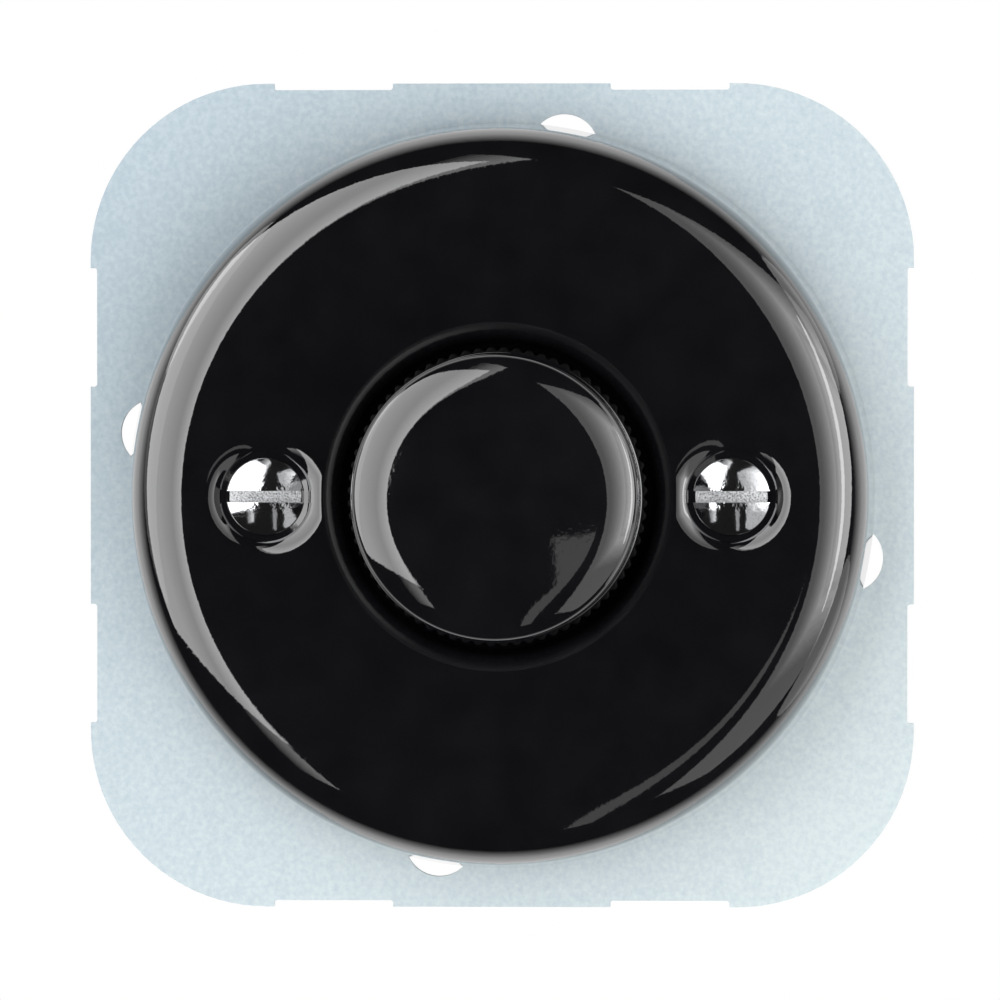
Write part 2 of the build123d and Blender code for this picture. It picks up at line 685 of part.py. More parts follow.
def vents():
    """Row of slots through the back of the base."""
    slot = Pos(0, 0, MODULE_BACK) * extrude(
        SlotOverall(VENT_LENGTH, VENT_WIDTH, rotation=90), MODULE_FLOOR
    )
    y = MODULE_HEIGHT / 2 - VENT_FROM_TOP
    return at([((i - (VENT_COUNT - 1) / 2) * VENT_PITCH, y) for i in range(VENT_COUNT)], slot)


def module_base():
    """Deep cup with screw bosses, board ribs, vents, wire entries and screw openings."""
    base = slab(MODULE_WIDTH, MODULE_HEIGHT, MODULE_CORNER_R, MODULE_BACK, LID_BACK)
    base = fillet(base.edges().group_by(Axis.Z)[0], MODULE_EDGE_R)
    hollow = slab(
        2 * INSIDE_X, 2 * INSIDE_Y, MODULE_CORNER_R - MODULE_WALL, BASE_FLOOR, LID_BACK
    )
    pilot_back = PAD_FRONT - MODULE_SCREW_LENGTH - BOSS_CLEARANCE
    for boss in at(BOSS_PLACES, rod(BOSS_R, BASE_FLOOR, LID_BACK)):
        hollow -= boss
    rib = block(2 * BOARD_RIB, BOARD_RIB, BASE_FLOOR, BOARD_BACK)
    rib_y = BOARD_RIB_FROM_BOTTOM - MODULE_HEIGHT / 2
    for side in at([(-INSIDE_X, rib_y), (INSIDE_X, rib_y)], rib):
        hollow -= side
    base -= hollow
    for pilot in at(BOSS_PLACES, rod(MODULE_SCREW_R + PILOT_GAP, pilot_back, LID_BACK)):
        base -= pilot
    for slot in vents():
        base -= slot
    entry = Pos(0, -MODULE_HEIGHT / 2 + MODULE_WALL / 2, WIRE_LEVEL) * Rot(90, 0, 0)
    for x, y in TERMINAL_PLACES:
        base -= Pos(x, 0, 0) * entry * Cylinder(WIRE_ENTRY_R, 2 * MODULE_WALL)
        base -= Pos(x, y, 0) * rod(ACCESS_HOLE_R, MODULE_BACK, BASE_FLOOR)
    return base


def module_screws():
    """Pan-head screws from the pad through the lid into the bosses."""
    head_top = PAD_FRONT + MODULE_SCREW_HEAD
    screw = rod(MODULE_SCREW_HEAD_R, PAD_FRONT, head_top)
    screw = fillet(screw.edges().group_by(Axis.Z)[-1], MODULE_SCREW_HEAD / 2)
    screw += rod(MODULE_SCREW_R, PAD_FRONT - MODULE_SCREW_LENGTH, PAD_FRONT)
    slot_floor = head_top - MODULE_SCREW_HEAD / 2
    for turn in (45, 135):
        screw -= Rot(0, 0, turn) * block(MODULE_SCREW_HEAD_R, MODULE_SCREW_SLOT, slot_floor, head_top)
    return group(at(BOSS_PLACES, screw))


# Circuit
def circuit_board():
    """Board cut away round the screw bosses, with a hole for the plunger."""
    board = slab(
        2 * (INSIDE_X - BOARD_GAP),
        2 * (INSIDE_Y - BOARD_GAP),
        MODULE_CORNER_R - MODULE_WALL - BOARD_GAP,
        BOARD_BACK,
        BOARD_FRONT,
    )
    for relief in at(BOSS_PLACES, rod(BOSS_R + BOARD_GAP, BOARD_BACK, BOARD_FRONT)):
        board -= relief
    return board - rod(PLUNGER_STEM_R + PLUNGER_SLIDE_GAP, BOARD_BACK, BOARD_FRONT)


def choke_level():
    """Middle height of the choke, which rests on the board by its winding."""
    return BOARD_BACK - CHOKE_WIRE - CHOKE_GAP - CHOKE_HEIGHT / 2


def ring_section(inner, outer, half_height):
    """Rectangle in radius and height, about the choke's middle height."""
    level = choke_level()
    return make_face(
        Plane.XZ
        * Polyline(
            (inner, level - half_height),
            (outer, level - half_height),
            (outer, level + half_height),
            (inner, level + half_height),
            close=True,
        )
    )


def choke_core():
    """Ring core of the interference choke."""
    outer = CHOKE_R - CHOKE_WIRE - CHOKE_GAP
    inner = CHOKE_HOLE_R + CHOKE_WIRE + CHOKE_GAP
    core = revolve(ring_section(inner, outer, CHOKE_HEIGHT / 2), Axis.Z)
    return Pos(-SIDE_X, 0, 0) * core


def choke_winding():
    """Wire layer wound round the core, with a gap between its ends."""
    outer = CHOKE_R - CHOKE_WIRE
    inner = CHOKE_HOLE_R + CHOKE_WIRE
    half = CHOKE_HEIGHT / 2 + CHOKE_GAP
    layer = ring_section(CHOKE_HOLE_R, CHOKE_R, half + CHOKE_WIRE) - ring_section(inner, outer, half)
    return Pos(-SIDE_X, 0, 0) * revolve(layer, Axis.Z, CHOKE_SWEEP)


def film_capacitor():
    """Moulded box capacitor beside the switch."""
    y = PART_GAP + FILM_BREADTH / 2
    return Pos(SIDE_X, y, 0) * block(FILM_WIDTH, FILM_BREADTH, BOARD_BACK - FILM_HEIGHT, BOARD_BACK)


def bulk_capacitor():
    """Standing can capacitor below the film capacitor."""
    can = rod(BULK_R, BOARD_BACK - BULK_HEIGHT, BOARD_BACK)
    can = fillet(can.edges().group_by(Axis.Z)[0], BULK_ROUND)
    return Pos(SIDE_X, -BULK_R, 0) * can


def power_transistors():
    """Power transistors flat on the front of the board, one each side of the potentiometer."""
    body = block(TRANSISTOR_WIDTH, TRANSISTOR_LENGTH, BOARD_FRONT, BOARD_FRONT + TRANSISTOR_HEIGHT)
    tab_y = (TRANSISTOR_LENGTH + TRANSISTOR_TAB_LENGTH) / 2
    tab = block(TRANSISTOR_WIDTH, TRANSISTOR_TAB_LENGTH, BOARD_FRONT, BOARD_FRONT + TRANSISTOR_TAB)
    hole = rod(TRANSISTOR_HOLE_R, BOARD_FRONT, BOARD_FRONT + TRANSISTOR_TAB)
    transistor = body + Pos(0, tab_y, 0) * (tab - hole)
    return group(at([(-TRANSISTOR_X, 0), (TRANSISTOR_X, 0)], transistor))


def fuse_link():
    """Glass fuse with a metal cap at each end."""
    half = FUSE_LENGTH / 2
    glass = Rot(0, 90, 0) * Cylinder(FUSE_R - FUSE_GLASS_STEP, FUSE_LENGTH)
    for side in (-1, 1):
        cap = Rot(0, 90, 0) * Cylinder(FUSE_R, FUSE_CAP_LENGTH)
        glass += Pos(side * (half - FUSE_CAP_LENGTH / 2), 0, 0) * cap
    return Pos(0, FUSE_Y, FUSE_LEVEL) * glass


def fuse_clips():
    """Spring clips that hold the fuse by its caps."""
    outer = FUSE_R + CLIP_THICK
    bend = Cylinder(outer, CLIP_WIDTH) - Cylinder(FUSE_R + SCREW_SEAT_CLEARANCE, CLIP_WIDTH)
    bend -= Pos(-outer, 0, 0) * Box(2 * FUSE_R, FUSE_R, CLIP_WIDTH)
    clip = Pos(0, FUSE_Y, FUSE_LEVEL) * Rot(0, 90, 0) * Rot(0, 0, 180) * bend
    stand = block(CLIP_WIDTH, 2 * CLIP_THICK, BOARD_BACK - CLIP_STAND - CLIP_THICK / 2, BOARD_BACK)
    clip += Pos(0, FUSE_Y, 0) * stand
    x = (FUSE_LENGTH - FUSE_CAP_LENGTH) / 2
    return group(at([(-x, 0), (x, 0)], clip))


# Terminals
def terminal_cages():
    """Brass blocks bored for the wire and tapped for the clamping screw."""
    cage = block(TERMINAL_SIDE, TERMINAL_SIDE, TERMINAL_BACK, BOARD_BACK)
    cage -= Pos(0, 0, WIRE_LEVEL) * Rot(90, 0, 0) * Cylinder(WIRE_BORE_R, TERMINAL_SIDE)
    cage -= rod(TERMINAL_SCREW_R + PILOT_GAP, TERMINAL_BACK, WIRE_LEVEL)
    return group(at(TERMINAL_PLACES, cage))


def terminal_screws():
    """Slotted clamping screws behind the openings in the base."""
    head_back = TERMINAL_BACK - TERMINAL_SCREW_HEAD
    screw = rod(TERMINAL_SCREW_R, TERMINAL_BACK, TERMINAL_BACK + TERMINAL_SCREW_REACH)
    screw += rod(TERMINAL_SCREW_HEAD_R, head_back, TERMINAL_BACK)
    screw -= block(
        2 * TERMINAL_SCREW_HEAD_R, TERMINAL_SCREW_SLOT, head_back, head_back + TERMINAL_SCREW_HEAD / 2
    )
    return group(at(TERMINAL_PLACES, screw))


PIECES = [
    support_plate,
    screw_posts,
    porcelain_cover,
    cover_screws,
    porcelain_knob,
    knob_sleeve,
    control_shaft,
    shaft_ring,
    pot_bushing,
    lock_washer,
    bushing_nut,
    pot_case,
    resistor_track,
    wiper_rotor,
    wiper_brush,
    switch_case,
    switch_plunger,
    return_spring,
    contact_bridge,
    fixed_contacts,
    module_lid,
    module_base,
    module_screws,
    circuit_board,
    choke_core,
    choke_winding,
    film_capacitor,
    bulk_capacitor,
    power_transistors,
    fuse_link,
    fuse_clips,
    terminal_cages,
    terminal_screws,
]

os.makedirs("parts", exist_ok=True)
for piece in PIECES:
    export_step(UPRIGHT * piece(), f"parts/{piece.__name__}.step")
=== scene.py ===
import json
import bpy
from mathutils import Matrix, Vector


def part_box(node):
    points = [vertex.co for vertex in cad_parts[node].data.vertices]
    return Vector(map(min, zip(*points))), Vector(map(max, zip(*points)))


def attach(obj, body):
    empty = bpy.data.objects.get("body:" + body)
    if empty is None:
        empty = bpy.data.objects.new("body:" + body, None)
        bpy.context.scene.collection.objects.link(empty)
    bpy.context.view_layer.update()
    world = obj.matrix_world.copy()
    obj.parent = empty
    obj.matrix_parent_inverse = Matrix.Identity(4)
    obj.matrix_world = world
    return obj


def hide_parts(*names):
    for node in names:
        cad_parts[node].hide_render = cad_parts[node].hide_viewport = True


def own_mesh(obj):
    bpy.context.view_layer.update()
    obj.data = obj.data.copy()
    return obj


bl_info = {
    "name": "Porcelain Dimmer",
    "version": (1, 0, 0),
    "blender": (4, 5, 0),
    "location": "View3D > Sidebar > Dimmer",
    "description": "Glazed cover, knob, screws and finishes of a flush-mounted rotary push dimmer",
    "category": "Object",
}

from math import atan2, cos, degrees, hypot, pi, radians, sin, sqrt, tan

import bmesh
import bpy
from bpy.props import FloatProperty, FloatVectorProperty, IntProperty, PointerProperty
from mathutils import Matrix, Vector

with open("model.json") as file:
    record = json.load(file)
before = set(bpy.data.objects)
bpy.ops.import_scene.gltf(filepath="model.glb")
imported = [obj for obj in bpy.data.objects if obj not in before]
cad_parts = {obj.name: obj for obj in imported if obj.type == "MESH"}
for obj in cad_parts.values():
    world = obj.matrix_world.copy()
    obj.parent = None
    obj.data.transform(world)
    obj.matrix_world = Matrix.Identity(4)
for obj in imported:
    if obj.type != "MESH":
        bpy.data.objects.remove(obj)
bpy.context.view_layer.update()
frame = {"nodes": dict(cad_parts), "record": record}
COVER_LOW, COVER_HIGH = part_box("porcelain_cover")
KNOB_LOW, KNOB_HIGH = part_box("porcelain_knob")
SCREWS_LOW, SCREWS_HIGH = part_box("cover_screws")
SPRING_LOW, SPRING_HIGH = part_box("return_spring")
SLOT_OF = {piece["node"]: piece["material_slot"] for piece in frame["record"]["subparts"]}
MM = 0.001
# Narrow flats beside the cover's turned rings, between which the face and the ceiling are filled
SHELL_FACE_FLAT, SHELL_BACK_FLAT = 0.3 * MM, 0.4 * MM
FACE_FLAT, BACK_FLAT = 0.02 * MM, 0.2 * MM
# Gap between a dish and the lip of the well
RING_GAP = 0.03 * MM
# Steps of a full turn
WIDE_TURN, DISH_TURN, BOSS_TURN, SCREW_TURN = 288, 144, 72, 128


def length(name, description, default):
    """A size that a user may change, in metres."""
    return FloatProperty(
        name=name,
        description=description,
        default=default,
        min=0.0,
        precision=5,
        subtype="DISTANCE",
        unit="LENGTH",
    )


def angle(name, description, default):
    """An angle that a user may change, given in degrees."""
    return FloatProperty(
        name=name, description=description, default=radians(default), subtype="ANGLE", unit="ROTATION"
    )


def number(name, description, default, **limits):
    """A plain number that a user may change."""
    return FloatProperty(name=name, description=description, default=default, **limits)


def colour(name, description, default):
    """A linear colour that a user may change."""
    return FloatVectorProperty(
        name=name, description=description, default=default, min=0.0, max=1.0, size=3, subtype="COLOR"
    )


class CoverSizes(bpy.types.PropertyGroup):
    """Sizes of the glazed cover; heights are measured from the back of the plate."""

    foot_r: length("Foot Radius", "Radius at the foot of the cover", COVER_HIGH.x)
    foot: length("Foot Height", "Height of the cover's foot", -COVER_HIGH.y)
    top: length("Face Height", "Height of the cover's face", -COVER_LOW.y)
    draft: angle("Draft", "Slope of the flank", 6.0)
    shoulder_r: length("Shoulder Radius", "Round between the flank and the face", 5.0 * MM)
    foot_round: length("Foot Round", "Round at the outer edge of the foot", 0.4 * MM)
    inner_r: length("Hollow Radius", "Radius of the hollow at the foot", 28.125 * MM)
    inner_round: length("Hollow Round", "Round where the hollow meets its ceiling", 1.5 * MM)
    face_thick: length("Face Thickness", "Thickness behind the face", 4.0 * MM)
    well_r: length("Well Radius", "Radius of the knob's well", 13.1 * MM)
    well_depth: length("Well Depth", "Depth of the knob's well", 3.4 * MM)
    well_lip_r: length("Well Lip", "Round at the rim of the well", 1.5 * MM)
    well_fillet_r: length("Well Fillet", "Round at the floor of the well", 1.3 * MM)
    well_wall: length("Well Wall", "Thickness round and under the well", 2.8 * MM)
    hole_r: length("Hole Radius", "Radius of the hole for the shaft", 5.6 * MM)
    hole_round: length("Hole Round", "Round at the edge of the hole", 0.4 * MM)
    ripple: number("Ripple", "Strength of the glaze's fine unevenness", 1.0, min=0.0, max=4.0)


class KnobSizes(bpy.types.PropertyGroup):
    """Sizes of the glazed knob; heights are measured from the back of the plate."""

    radius: length("Radius", "Radius of the knob", 11.9 * MM)
    foot: length("Foot Height", "Height of the knob's foot", -KNOB_HIGH.y)
    top: length("Top Height", "Height of the middle of the crown", -KNOB_LOW.y)
    dome_r: length("Crown Radius", "Radius of the shallow dome", 80.0 * MM)
    shoulder_r: length("Shoulder Radius", "Radius of the wide shoulder", 5.5 * MM)
    shoulder_turn: angle("Shoulder Turn", "Slope at which the shoulder meets the edge", 35.5)
    edge_r: length("Edge Radius", "Round of the edge", 1.3 * MM)
    collar_r: length("Collar Radius", "Radius of the fluted collar", 12.5 * MM)
    collar_height: length("Collar Height", "Height of the fluted collar", 2.5 * MM)
    collar_round: length("Collar Round", "Rounds at the edges of the collar", 0.25 * MM)
    hollow_out: length("Hollow Outer Radius", "Outer radius of the hollow below", 8.9 * MM)
    hollow_in: length("Hollow Inner Radius", "Inner radius of the hollow below", 6.6 * MM)
    hollow_depth: length("Hollow Depth", "Depth of the hollow below", 6.0 * MM)
    bore_r: length("Bore Radius", "Radius of the bore for the sleeve", 4.53 * MM)
    crown_thick: length("Crown Thickness", "Thickness over the bore", 3.0 * MM)
    flutes: IntProperty(
        name="Flutes", description="Number of flutes round the collar", default=72, min=12, max=120
    )
    flute_depth: length("Flute Depth", "Depth of each flute", 0.3 * MM)
    flute_share: number("Flute Share", "Share of the pitch that a flute takes", 0.62, min=0.2, max=0.9)


class ScrewSizes(bpy.types.PropertyGroup):
    """Sizes of the cover's screws and of the dishes that they sit in."""

    spacing: length("Spacing", "Distance between the two screws", 39.0 * MM)
    head_r: length("Head Radius", "Radius of a screw's head", SCREWS_HIGH.x - 19.5 * MM)
    dome: length("Dome", "Rise of the raised head", 0.95 * MM)
    shank_r: length("Shank Radius", "Radius of a screw's shank", 1.75 * MM)
    top: length("Top Height", "Height of the head's top", -SCREWS_LOW.y)
    end: length("End Height", "Height of the shank's end", -SCREWS_HIGH.y)
    slot_width: length("Slot Width", "Width of the slot", 0.95 * MM)
    slot_depth: length("Slot Depth", "Depth of the slot", 1.2 * MM)
    dish_r: length("Dish Radius", "Radius of the dish", 5.35 * MM)
    dish_lip_r: length("Dish Lip", "Wide round at the rim of the dish", 2.3 * MM)
    sink_r: length("Countersink Radius", "Radius at which the countersink would meet the face", 3.98 * MM)
    seat_r: length("Seat Radius", "Radius of the countersink's upper edge", 3.25 * MM)
    hole_r: length("Hole Radius", "Radius of the hole for the shank", 2.1 * MM)
    boss_r: length("Boss Radius", "Radius of the boss behind the dish", 4.6 * MM)
    boss_drop: length("Boss Drop", "Height of the boss behind the dish", 1.2 * MM)


class SpringSizes(bpy.types.PropertyGroup):
    """Sizes of the return spring in the push switch."""

    outer_r: length("Outer Radius", "Radius over the coil", SPRING_HIGH.x)
    wire_r: length("Wire Radius", "Radius of the wire", 0.25 * MM)
    turns: IntProperty(name="Turns", description="Number of turns of the coil", default=4, min=1, max=12)
    travel: length("Travel", "How far the knob pushes in", 1.5 * MM)


class Finishes(bpy.types.PropertyGroup):
    """Main colours of the finishes."""

    glaze: colour("Glaze", "Black glaze", (0.004, 0.004, 0.005))
    zinc: colour("Zinc", "Zinc plating of the plate", (0.585, 0.675, 0.72))
    chrome: colour("Chrome", "Plating of the cover's screws", (0.78, 0.79, 0.81))
    brass: colour("Brass", "Turned brass", (0.62, 0.44, 0.18))
    steel: colour("Steel", "Plated steel", (0.56, 0.57, 0.58))
    cast: colour("Cast Metal", "Die-cast metal", (0.52, 0.52, 0.53))
    grey: colour("Grey Plastic", "Housing of the module", (0.30, 0.31, 0.32))
    white: colour("White Plastic", "Plunger and rotor", (0.70, 0.69, 0.65))
    black: colour("Black Plastic", "Moulded black parts", (0.020, 0.020, 0.021))
    track: colour("Track Board", "Board of the resistor track", (0.22, 0.12, 0.055))
    board: colour("Circuit Board", "Solder mask of the board", (0.020, 0.14, 0.055))
    ferrite: colour("Ferrite", "Ring core", (0.055, 0.055, 0.06))
    wire: colour("Wire", "Enamelled copper", (0.42, 0.13, 0.045))
    film: colour("Film Capacitor", "Moulded box", (0.55, 0.33, 0.03))
    fuse: colour("Fuse Glass", "Glass of the fuse", (0.86, 0.88, 0.88))


class StageSettings(bpy.types.PropertyGroup):
    """Camera, lamps and floor."""

    distance: length("Distance", "Distance from the camera to the plate", 0.6)
    right: number("Right", "Camera's place to the right, per distance", 0.0299)
    above: number("Above", "Camera's place upwards, per distance", 0.0106)
    across: length("Width Seen", "Width of the picture at the plate", 0.0851)
    left_away: length("Left Distance", "Distance of the left soft box's plane", 0.36)
    left_box: number("Left Soft Box", "Brightness of the left soft box", 1.8, min=0.0)
    right_away: length("Right Distance", "Distance of the right soft box's plane", 0.28)
    right_box: number("Right Soft Box", "Brightness of the right soft box", 0.5, min=0.0)
    fill: number("Fill", "Brightness of the fill, which glossy faces don't show", 2.5, min=0.0)
    strip: number("Strip", "Brightness of the narrow lamp in front", 0.33, min=0.0)
    floor_colour: colour("Floor", "Pale floor", (0.80, 0.80, 0.79))
    floor_drop: length("Floor Drop", "Depth of the floor under the middle", 0.6)


class Field:
    """A value in a node tree; arithmetic on it adds the Math nodes that it needs."""

    def __init__(self, tree, socket):
        self.tree = tree
        self.socket = socket

    def node(self, kind, settings, values, output=0):
        """Adds a node, its settings first and then its sockets' values or links; gives one output."""
        added = self.tree.nodes.new(kind)
        for name, value in settings.items():
            if name == "stops":
                ramp = added.color_ramp.elements
                ramp.remove(ramp[1])
                ramp[0].position, ramp[0].color = value[0]
                for position, stop in value[1:]:
                    ramp.new(position).color = stop
            else:
                setattr(added, name, value)
        for name, value in values.items():
            if isinstance(value, Field):
                self.tree.links.new(value.socket, added.inputs[name])
            else:
                added.inputs[name].default_value = value
        return Field(self.tree, added.outputs[output])

    def maths(self, operation, other=0.0):
        """One Math node on this value, and on another where the operation takes two."""
        return self.node("ShaderNodeMath", {"operation": operation}, {0: self, 1: other})

    def __add__(self, other):
        return self.maths("ADD", other)

    __radd__ = __add__

    def __sub__(self, other):
        return self.maths("SUBTRACT", other)

    def __rsub__(self, other):
        return self * -1.0 + other

    def __mul__(self, other):
        return self.maths("MULTIPLY", other)

    __rmul__ = __mul__

    def __truediv__(self, other):
        return self.maths("DIVIDE", other)

    def __gt__(self, other):
        return self.maths("GREATER_THAN", other)

    def __lt__(self, other):
        return self.maths("LESS_THAN", other)

    def size(self):
        """Distance from zero."""
        return self.maths("ABSOLUTE")

    def noise(self, scale, detail=2.0, roughness=0.5):
        """Noise on this place, with features about one over scale long."""
        values = {"Vector": self, "Scale": scale, "Detail": detail, "Roughness": roughness}
        return self.node("ShaderNodeTexNoise", {}, values)

    def ramp(self, *stops):
        """Colour ramp of this value; each stop is a position and a colour of three numbers."""
        full = [(position, (*stop, 1.0)) for position, stop in stops]
        return self.node("ShaderNodeValToRGB", {"stops": full}, {"Fac": self})

    def spread(self, low, high):
        """This value, from 0 to 1, spread over a range."""
        return self * (high - low) + low

    def part(self, axis):
        """One coordinate of this place."""
        return self.node("ShaderNodeSeparateXYZ", {}, {0: self}, axis)

    def bump(self, distance, strength=1.0):
        """Normal from this height."""
        return self.node("ShaderNodeBump", {}, {"Height": self, "Distance": distance, "Strength": strength})


def shade(tone, share):
    """A colour made lighter or darker by a share."""
    return tuple(min(1.0, channel * share) for channel in tone)


def blank(name):
    """New material with one shader; gives the material, the shader and the object's coordinates."""
    material = bpy.data.materials.new(name)
    material.use_nodes = True
    tree = material.node_tree
    shader = tree.nodes["Principled BSDF"]
    coordinates = tree.nodes.new("ShaderNodeTexCoord")
    return material, shader, Field(tree, coordinates.outputs["Object"])


def from_axis(place):
    """Distance of a place from the shaft's axis."""
    across = place.part(0)
    up = place.part(2)
    return (across * across + up * up).maths("SQRT")


def wire_up(shader, **fields):
    """Sets or links a shader's sockets; names are written with underscores."""
    for name, value in fields.items():
        socket = shader.inputs[name.replace("_", " ")]
        if isinstance(value, Field):
            value.tree.links.new(value.socket, socket)
        else:
            socket.default_value = value


def glaze(name, tone, ripple, lip_low, lip_high):
    """Glossy black glaze under a clear coat, rippled below it and duller on the lip of the well."""
    material, shader, place = blank(name)
    cloud = place.noise(260.0, 3.0)
    fine = place.noise(1700.0, 2.0, 0.5)
    slow = place.noise(240.0, 1.0, 0.4)
    out = from_axis(place)
    lip = (out > lip_low) * (out < lip_high)
    wire_up(
        shader,
        Base_Color=cloud.ramp((0.3, shade(tone, 0.75)), (0.7, shade(tone, 1.3))),
        Roughness=place.noise(900.0, 2.0).spread(0.02, 0.05) + lip * 0.2,
        IOR=1.75,
        Normal=(fine * 5.0 + slow * 3.0).bump(1.6e-6 * ripple),
        Coat_Weight=1 - lip,
        Coat_IOR=1.75,
        Coat_Roughness=0.035,
    )
    return material


def dull_grip(name, tone):
    """Dull flutes of the knob's collar, which the glaze barely covers."""
    material, shader, place = blank(name)
    grain = place.noise(2400.0, 3.0, 0.6)
    wire_up(
        shader,
        Base_Color=grain.ramp((0.3, shade(tone, 0.4)), (0.7, shade(tone, 0.8))),
        Roughness=grain.spread(0.45, 0.65),
        Specular_IOR_Level=0.08,
        Normal=grain.bump(8.0e-6),
    )
    return material


def zinc(name, tone):
    """Satin zinc plating: fine low speckle and a bluish cast that thins out to the lower right, where
    painted light makes it lighter.
    """
    material, shader, place = blank(name)
    grain = place.noise(2300.0, 3.0, 0.6)
    drift = place.noise(30.0, 2.0)
    # Painted light: this gradient makes the plate lighter towards the lower right, as well as less blue
    cast = place.part(0) * 7.0 - place.part(2) * 7.0 + 0.5
    value = grain * 0.65 + drift * 0.25 + cast * 0.4 - 0.15
    wire_up(
        shader,
        Base_Color=value.ramp(
            (0.25, (tone[0] * 0.80, tone[1] * 0.84, tone[2] * 0.88)),
            (0.50, tone),
            (0.75, (tone[0] * 1.18, tone[1] * 1.15, tone[2] * 1.10)),
        ),
        Metallic=0.3,
        Roughness=grain.spread(0.42, 0.58),
        Normal=grain.bump(1.2e-5),
    )
    return material


def chrome(name, tone):
    """Polished plating with faint waves, tiny pits and metal upset beside the slot."""
    material, shader, place = blank(name)
    waves = place.noise(420.0, 2.0)
    pits = place.noise(5200.0, 1.0)
    beside_slot = ((1.6 * MM - place.part(2).size()) / (1.1 * MM)).maths("MAXIMUM", 0.0)
    upset = place.noise(1500.0, 2.0) * beside_slot
    wire_up(
        shader,
        Base_Color=pits.ramp((0.25, shade(tone, 0.82)), (0.5, tone)),
        Metallic=1.0,
        Roughness=waves.spread(0.05, 0.12),
        Normal=(waves * 6.0 + pits + upset * 24.0).bump(3.0e-6),
    )
    return material


def slot_floor(name, tone):
    """Grainy floor of a screw's slot."""
    material, shader, place = blank(name)
    grain = place.noise(6500.0, 3.0, 0.7)
    wire_up(
        shader,
        Base_Color=grain.ramp(
            (0.36, shade(tone, 0.2)), (0.46, shade(tone, 0.8)), (0.60, shade(tone, 1.25))
        ),
        Metallic=0.25,
        Roughness=grain.spread(0.25, 0.6),
        Normal=grain.bump(6.0e-5),
    )
    return material


def turned_metal(name, tone, low, high):
    """Machined metal with fine turning marks round the shaft's axis."""
    material, shader, place = blank(name)
    marks = place.node(
        "ShaderNodeTexWave",
        {"wave_type": "BANDS", "bands_direction": "Y"},
        {"Vector": place, "Scale": 900.0, "Distortion": 2.0, "Detail": 2.0, "Detail Scale": 2.0},
        "Fac",
    )
    stain = place.noise(180.0, 4.0, 0.6)
    wire_up(
        shader,
        Base_Color=stain.ramp((0.3, shade(tone, 0.72)), (0.5, tone), (0.75, shade(tone, 1.15))),
        Metallic=1.0,
        Roughness=(marks * 0.35 + stain * 0.65).spread(low, high),
        Normal=marks.bump(2.5e-6),
    )
    return material


def grainy_metal(name, tone, scale, depth, low, high):
    """Cast or plated metal with a fine grain."""
    material, shader, place = blank(name)
    grain = place.noise(scale, 3.0, 0.6)
    stain = place.noise(120.0, 3.0, 0.6)
    wire_up(
        shader,
        Base_Color=(grain * 0.4 + stain * 0.6).ramp(
            (0.3, shade(tone, 0.75)), (0.5, tone), (0.7, shade(tone, 1.15))
        ),
        Metallic=1.0,
        Roughness=grain.spread(low, high),
        Normal=grain.bump(depth),
    )
    return material


def moulded_plastic(name, tone, grain_scale, depth, low, high):
    """Moulded plastic with a spark-eroded grain and faint flow clouds."""
    material, shader, place = blank(name)
    grain = place.noise(grain_scale, 2.0, 0.6)
    clouds = place.noise(70.0, 3.0, 0.6)
    wire_up(
        shader,
        Base_Color=(clouds * 0.4 + grain * 0.6).ramp(
            (0.3, shade(tone, 0.88)), (0.5, tone), (0.7, shade(tone, 1.08))
        ),
        Roughness=grain.spread(low, high),
        Normal=grain.bump(depth),
    )
    return material


def track_board(name, tone):
    """Laminated board with a dark resistive ring round the shaft."""
    material, shader, place = blank(name)
    out = from_axis(place)
    ring = (out > 5.2 * MM) * (out < 8.4 * MM)
    fibres = place.noise(900.0, 4.0, 0.7)
    laminate = fibres.ramp((0.3, shade(tone, 0.7)), (0.7, shade(tone, 1.25)))
    carbon = fibres.ramp((0.3, (0.010, 0.010, 0.010)), (0.7, (0.035, 0.034, 0.032)))
    mixed = place.node("ShaderNodeMix", {"data_type": "RGBA"}, {0: ring, 6: laminate, 7: carbon}, 2)
    wire_up(shader, Base_Color=mixed, Roughness=fibres.spread(0.45, 0.7), Normal=fibres.bump(1.0e-5))
    return material


def circuit_board(name, tone):
    """Green board with a woven grain and paler tracks under the mask."""
    material, shader, place = blank(name)
    weave = place.node("ShaderNodeTexChecker", {}, {"Vector": place, "Scale": 1600.0}, "Fac")
    edges = {"feature": "DISTANCE_TO_EDGE"}
    cells = place.node("ShaderNodeTexVoronoi", edges, {"Vector": place, "Scale": 260.0}, "Distance")
    tracks = cells > 0.12
    base = (tracks * 0.55 + weave * 0.08 + place.noise(300.0) * 0.3).ramp(
        (0.1, shade(tone, 0.7)), (0.5, tone), (0.9, shade(tone, 1.7))
    )
    height = tracks + weave * 0.1
    wire_up(shader, Base_Color=base, Roughness=weave.spread(0.30, 0.38), Normal=height.bump(2.5e-5))
    return material


def wound_wire(name, tone, middle_x):
    """Copper wire side by side round the ring core, with painted shade in the grooves between the turns."""
    material, shader, place = blank(name)
    across = place.part(0) - middle_x
    turn = place.part(2).maths("ARCTAN2", across)
    strand_and_groove_shade = (turn * 46.0).maths("SINE")
    stain = place.noise(500.0, 3.0)
    wire_up(
        shader,
        # Painted shade: darker where the strand's height is low, in the grooves between turns, and lighter
        # on the crests
        Base_Color=(strand_and_groove_shade * 0.2 + stain * 0.6 + 0.2).ramp(
            (0.2, shade(tone, 0.45)), (0.5, tone), (0.8, shade(tone, 1.3))
        ),
        Metallic=0.85,
        Roughness=stain.spread(0.25, 0.4),
        Normal=strand_and_groove_shade.bump(1.4e-4),
    )
    return material


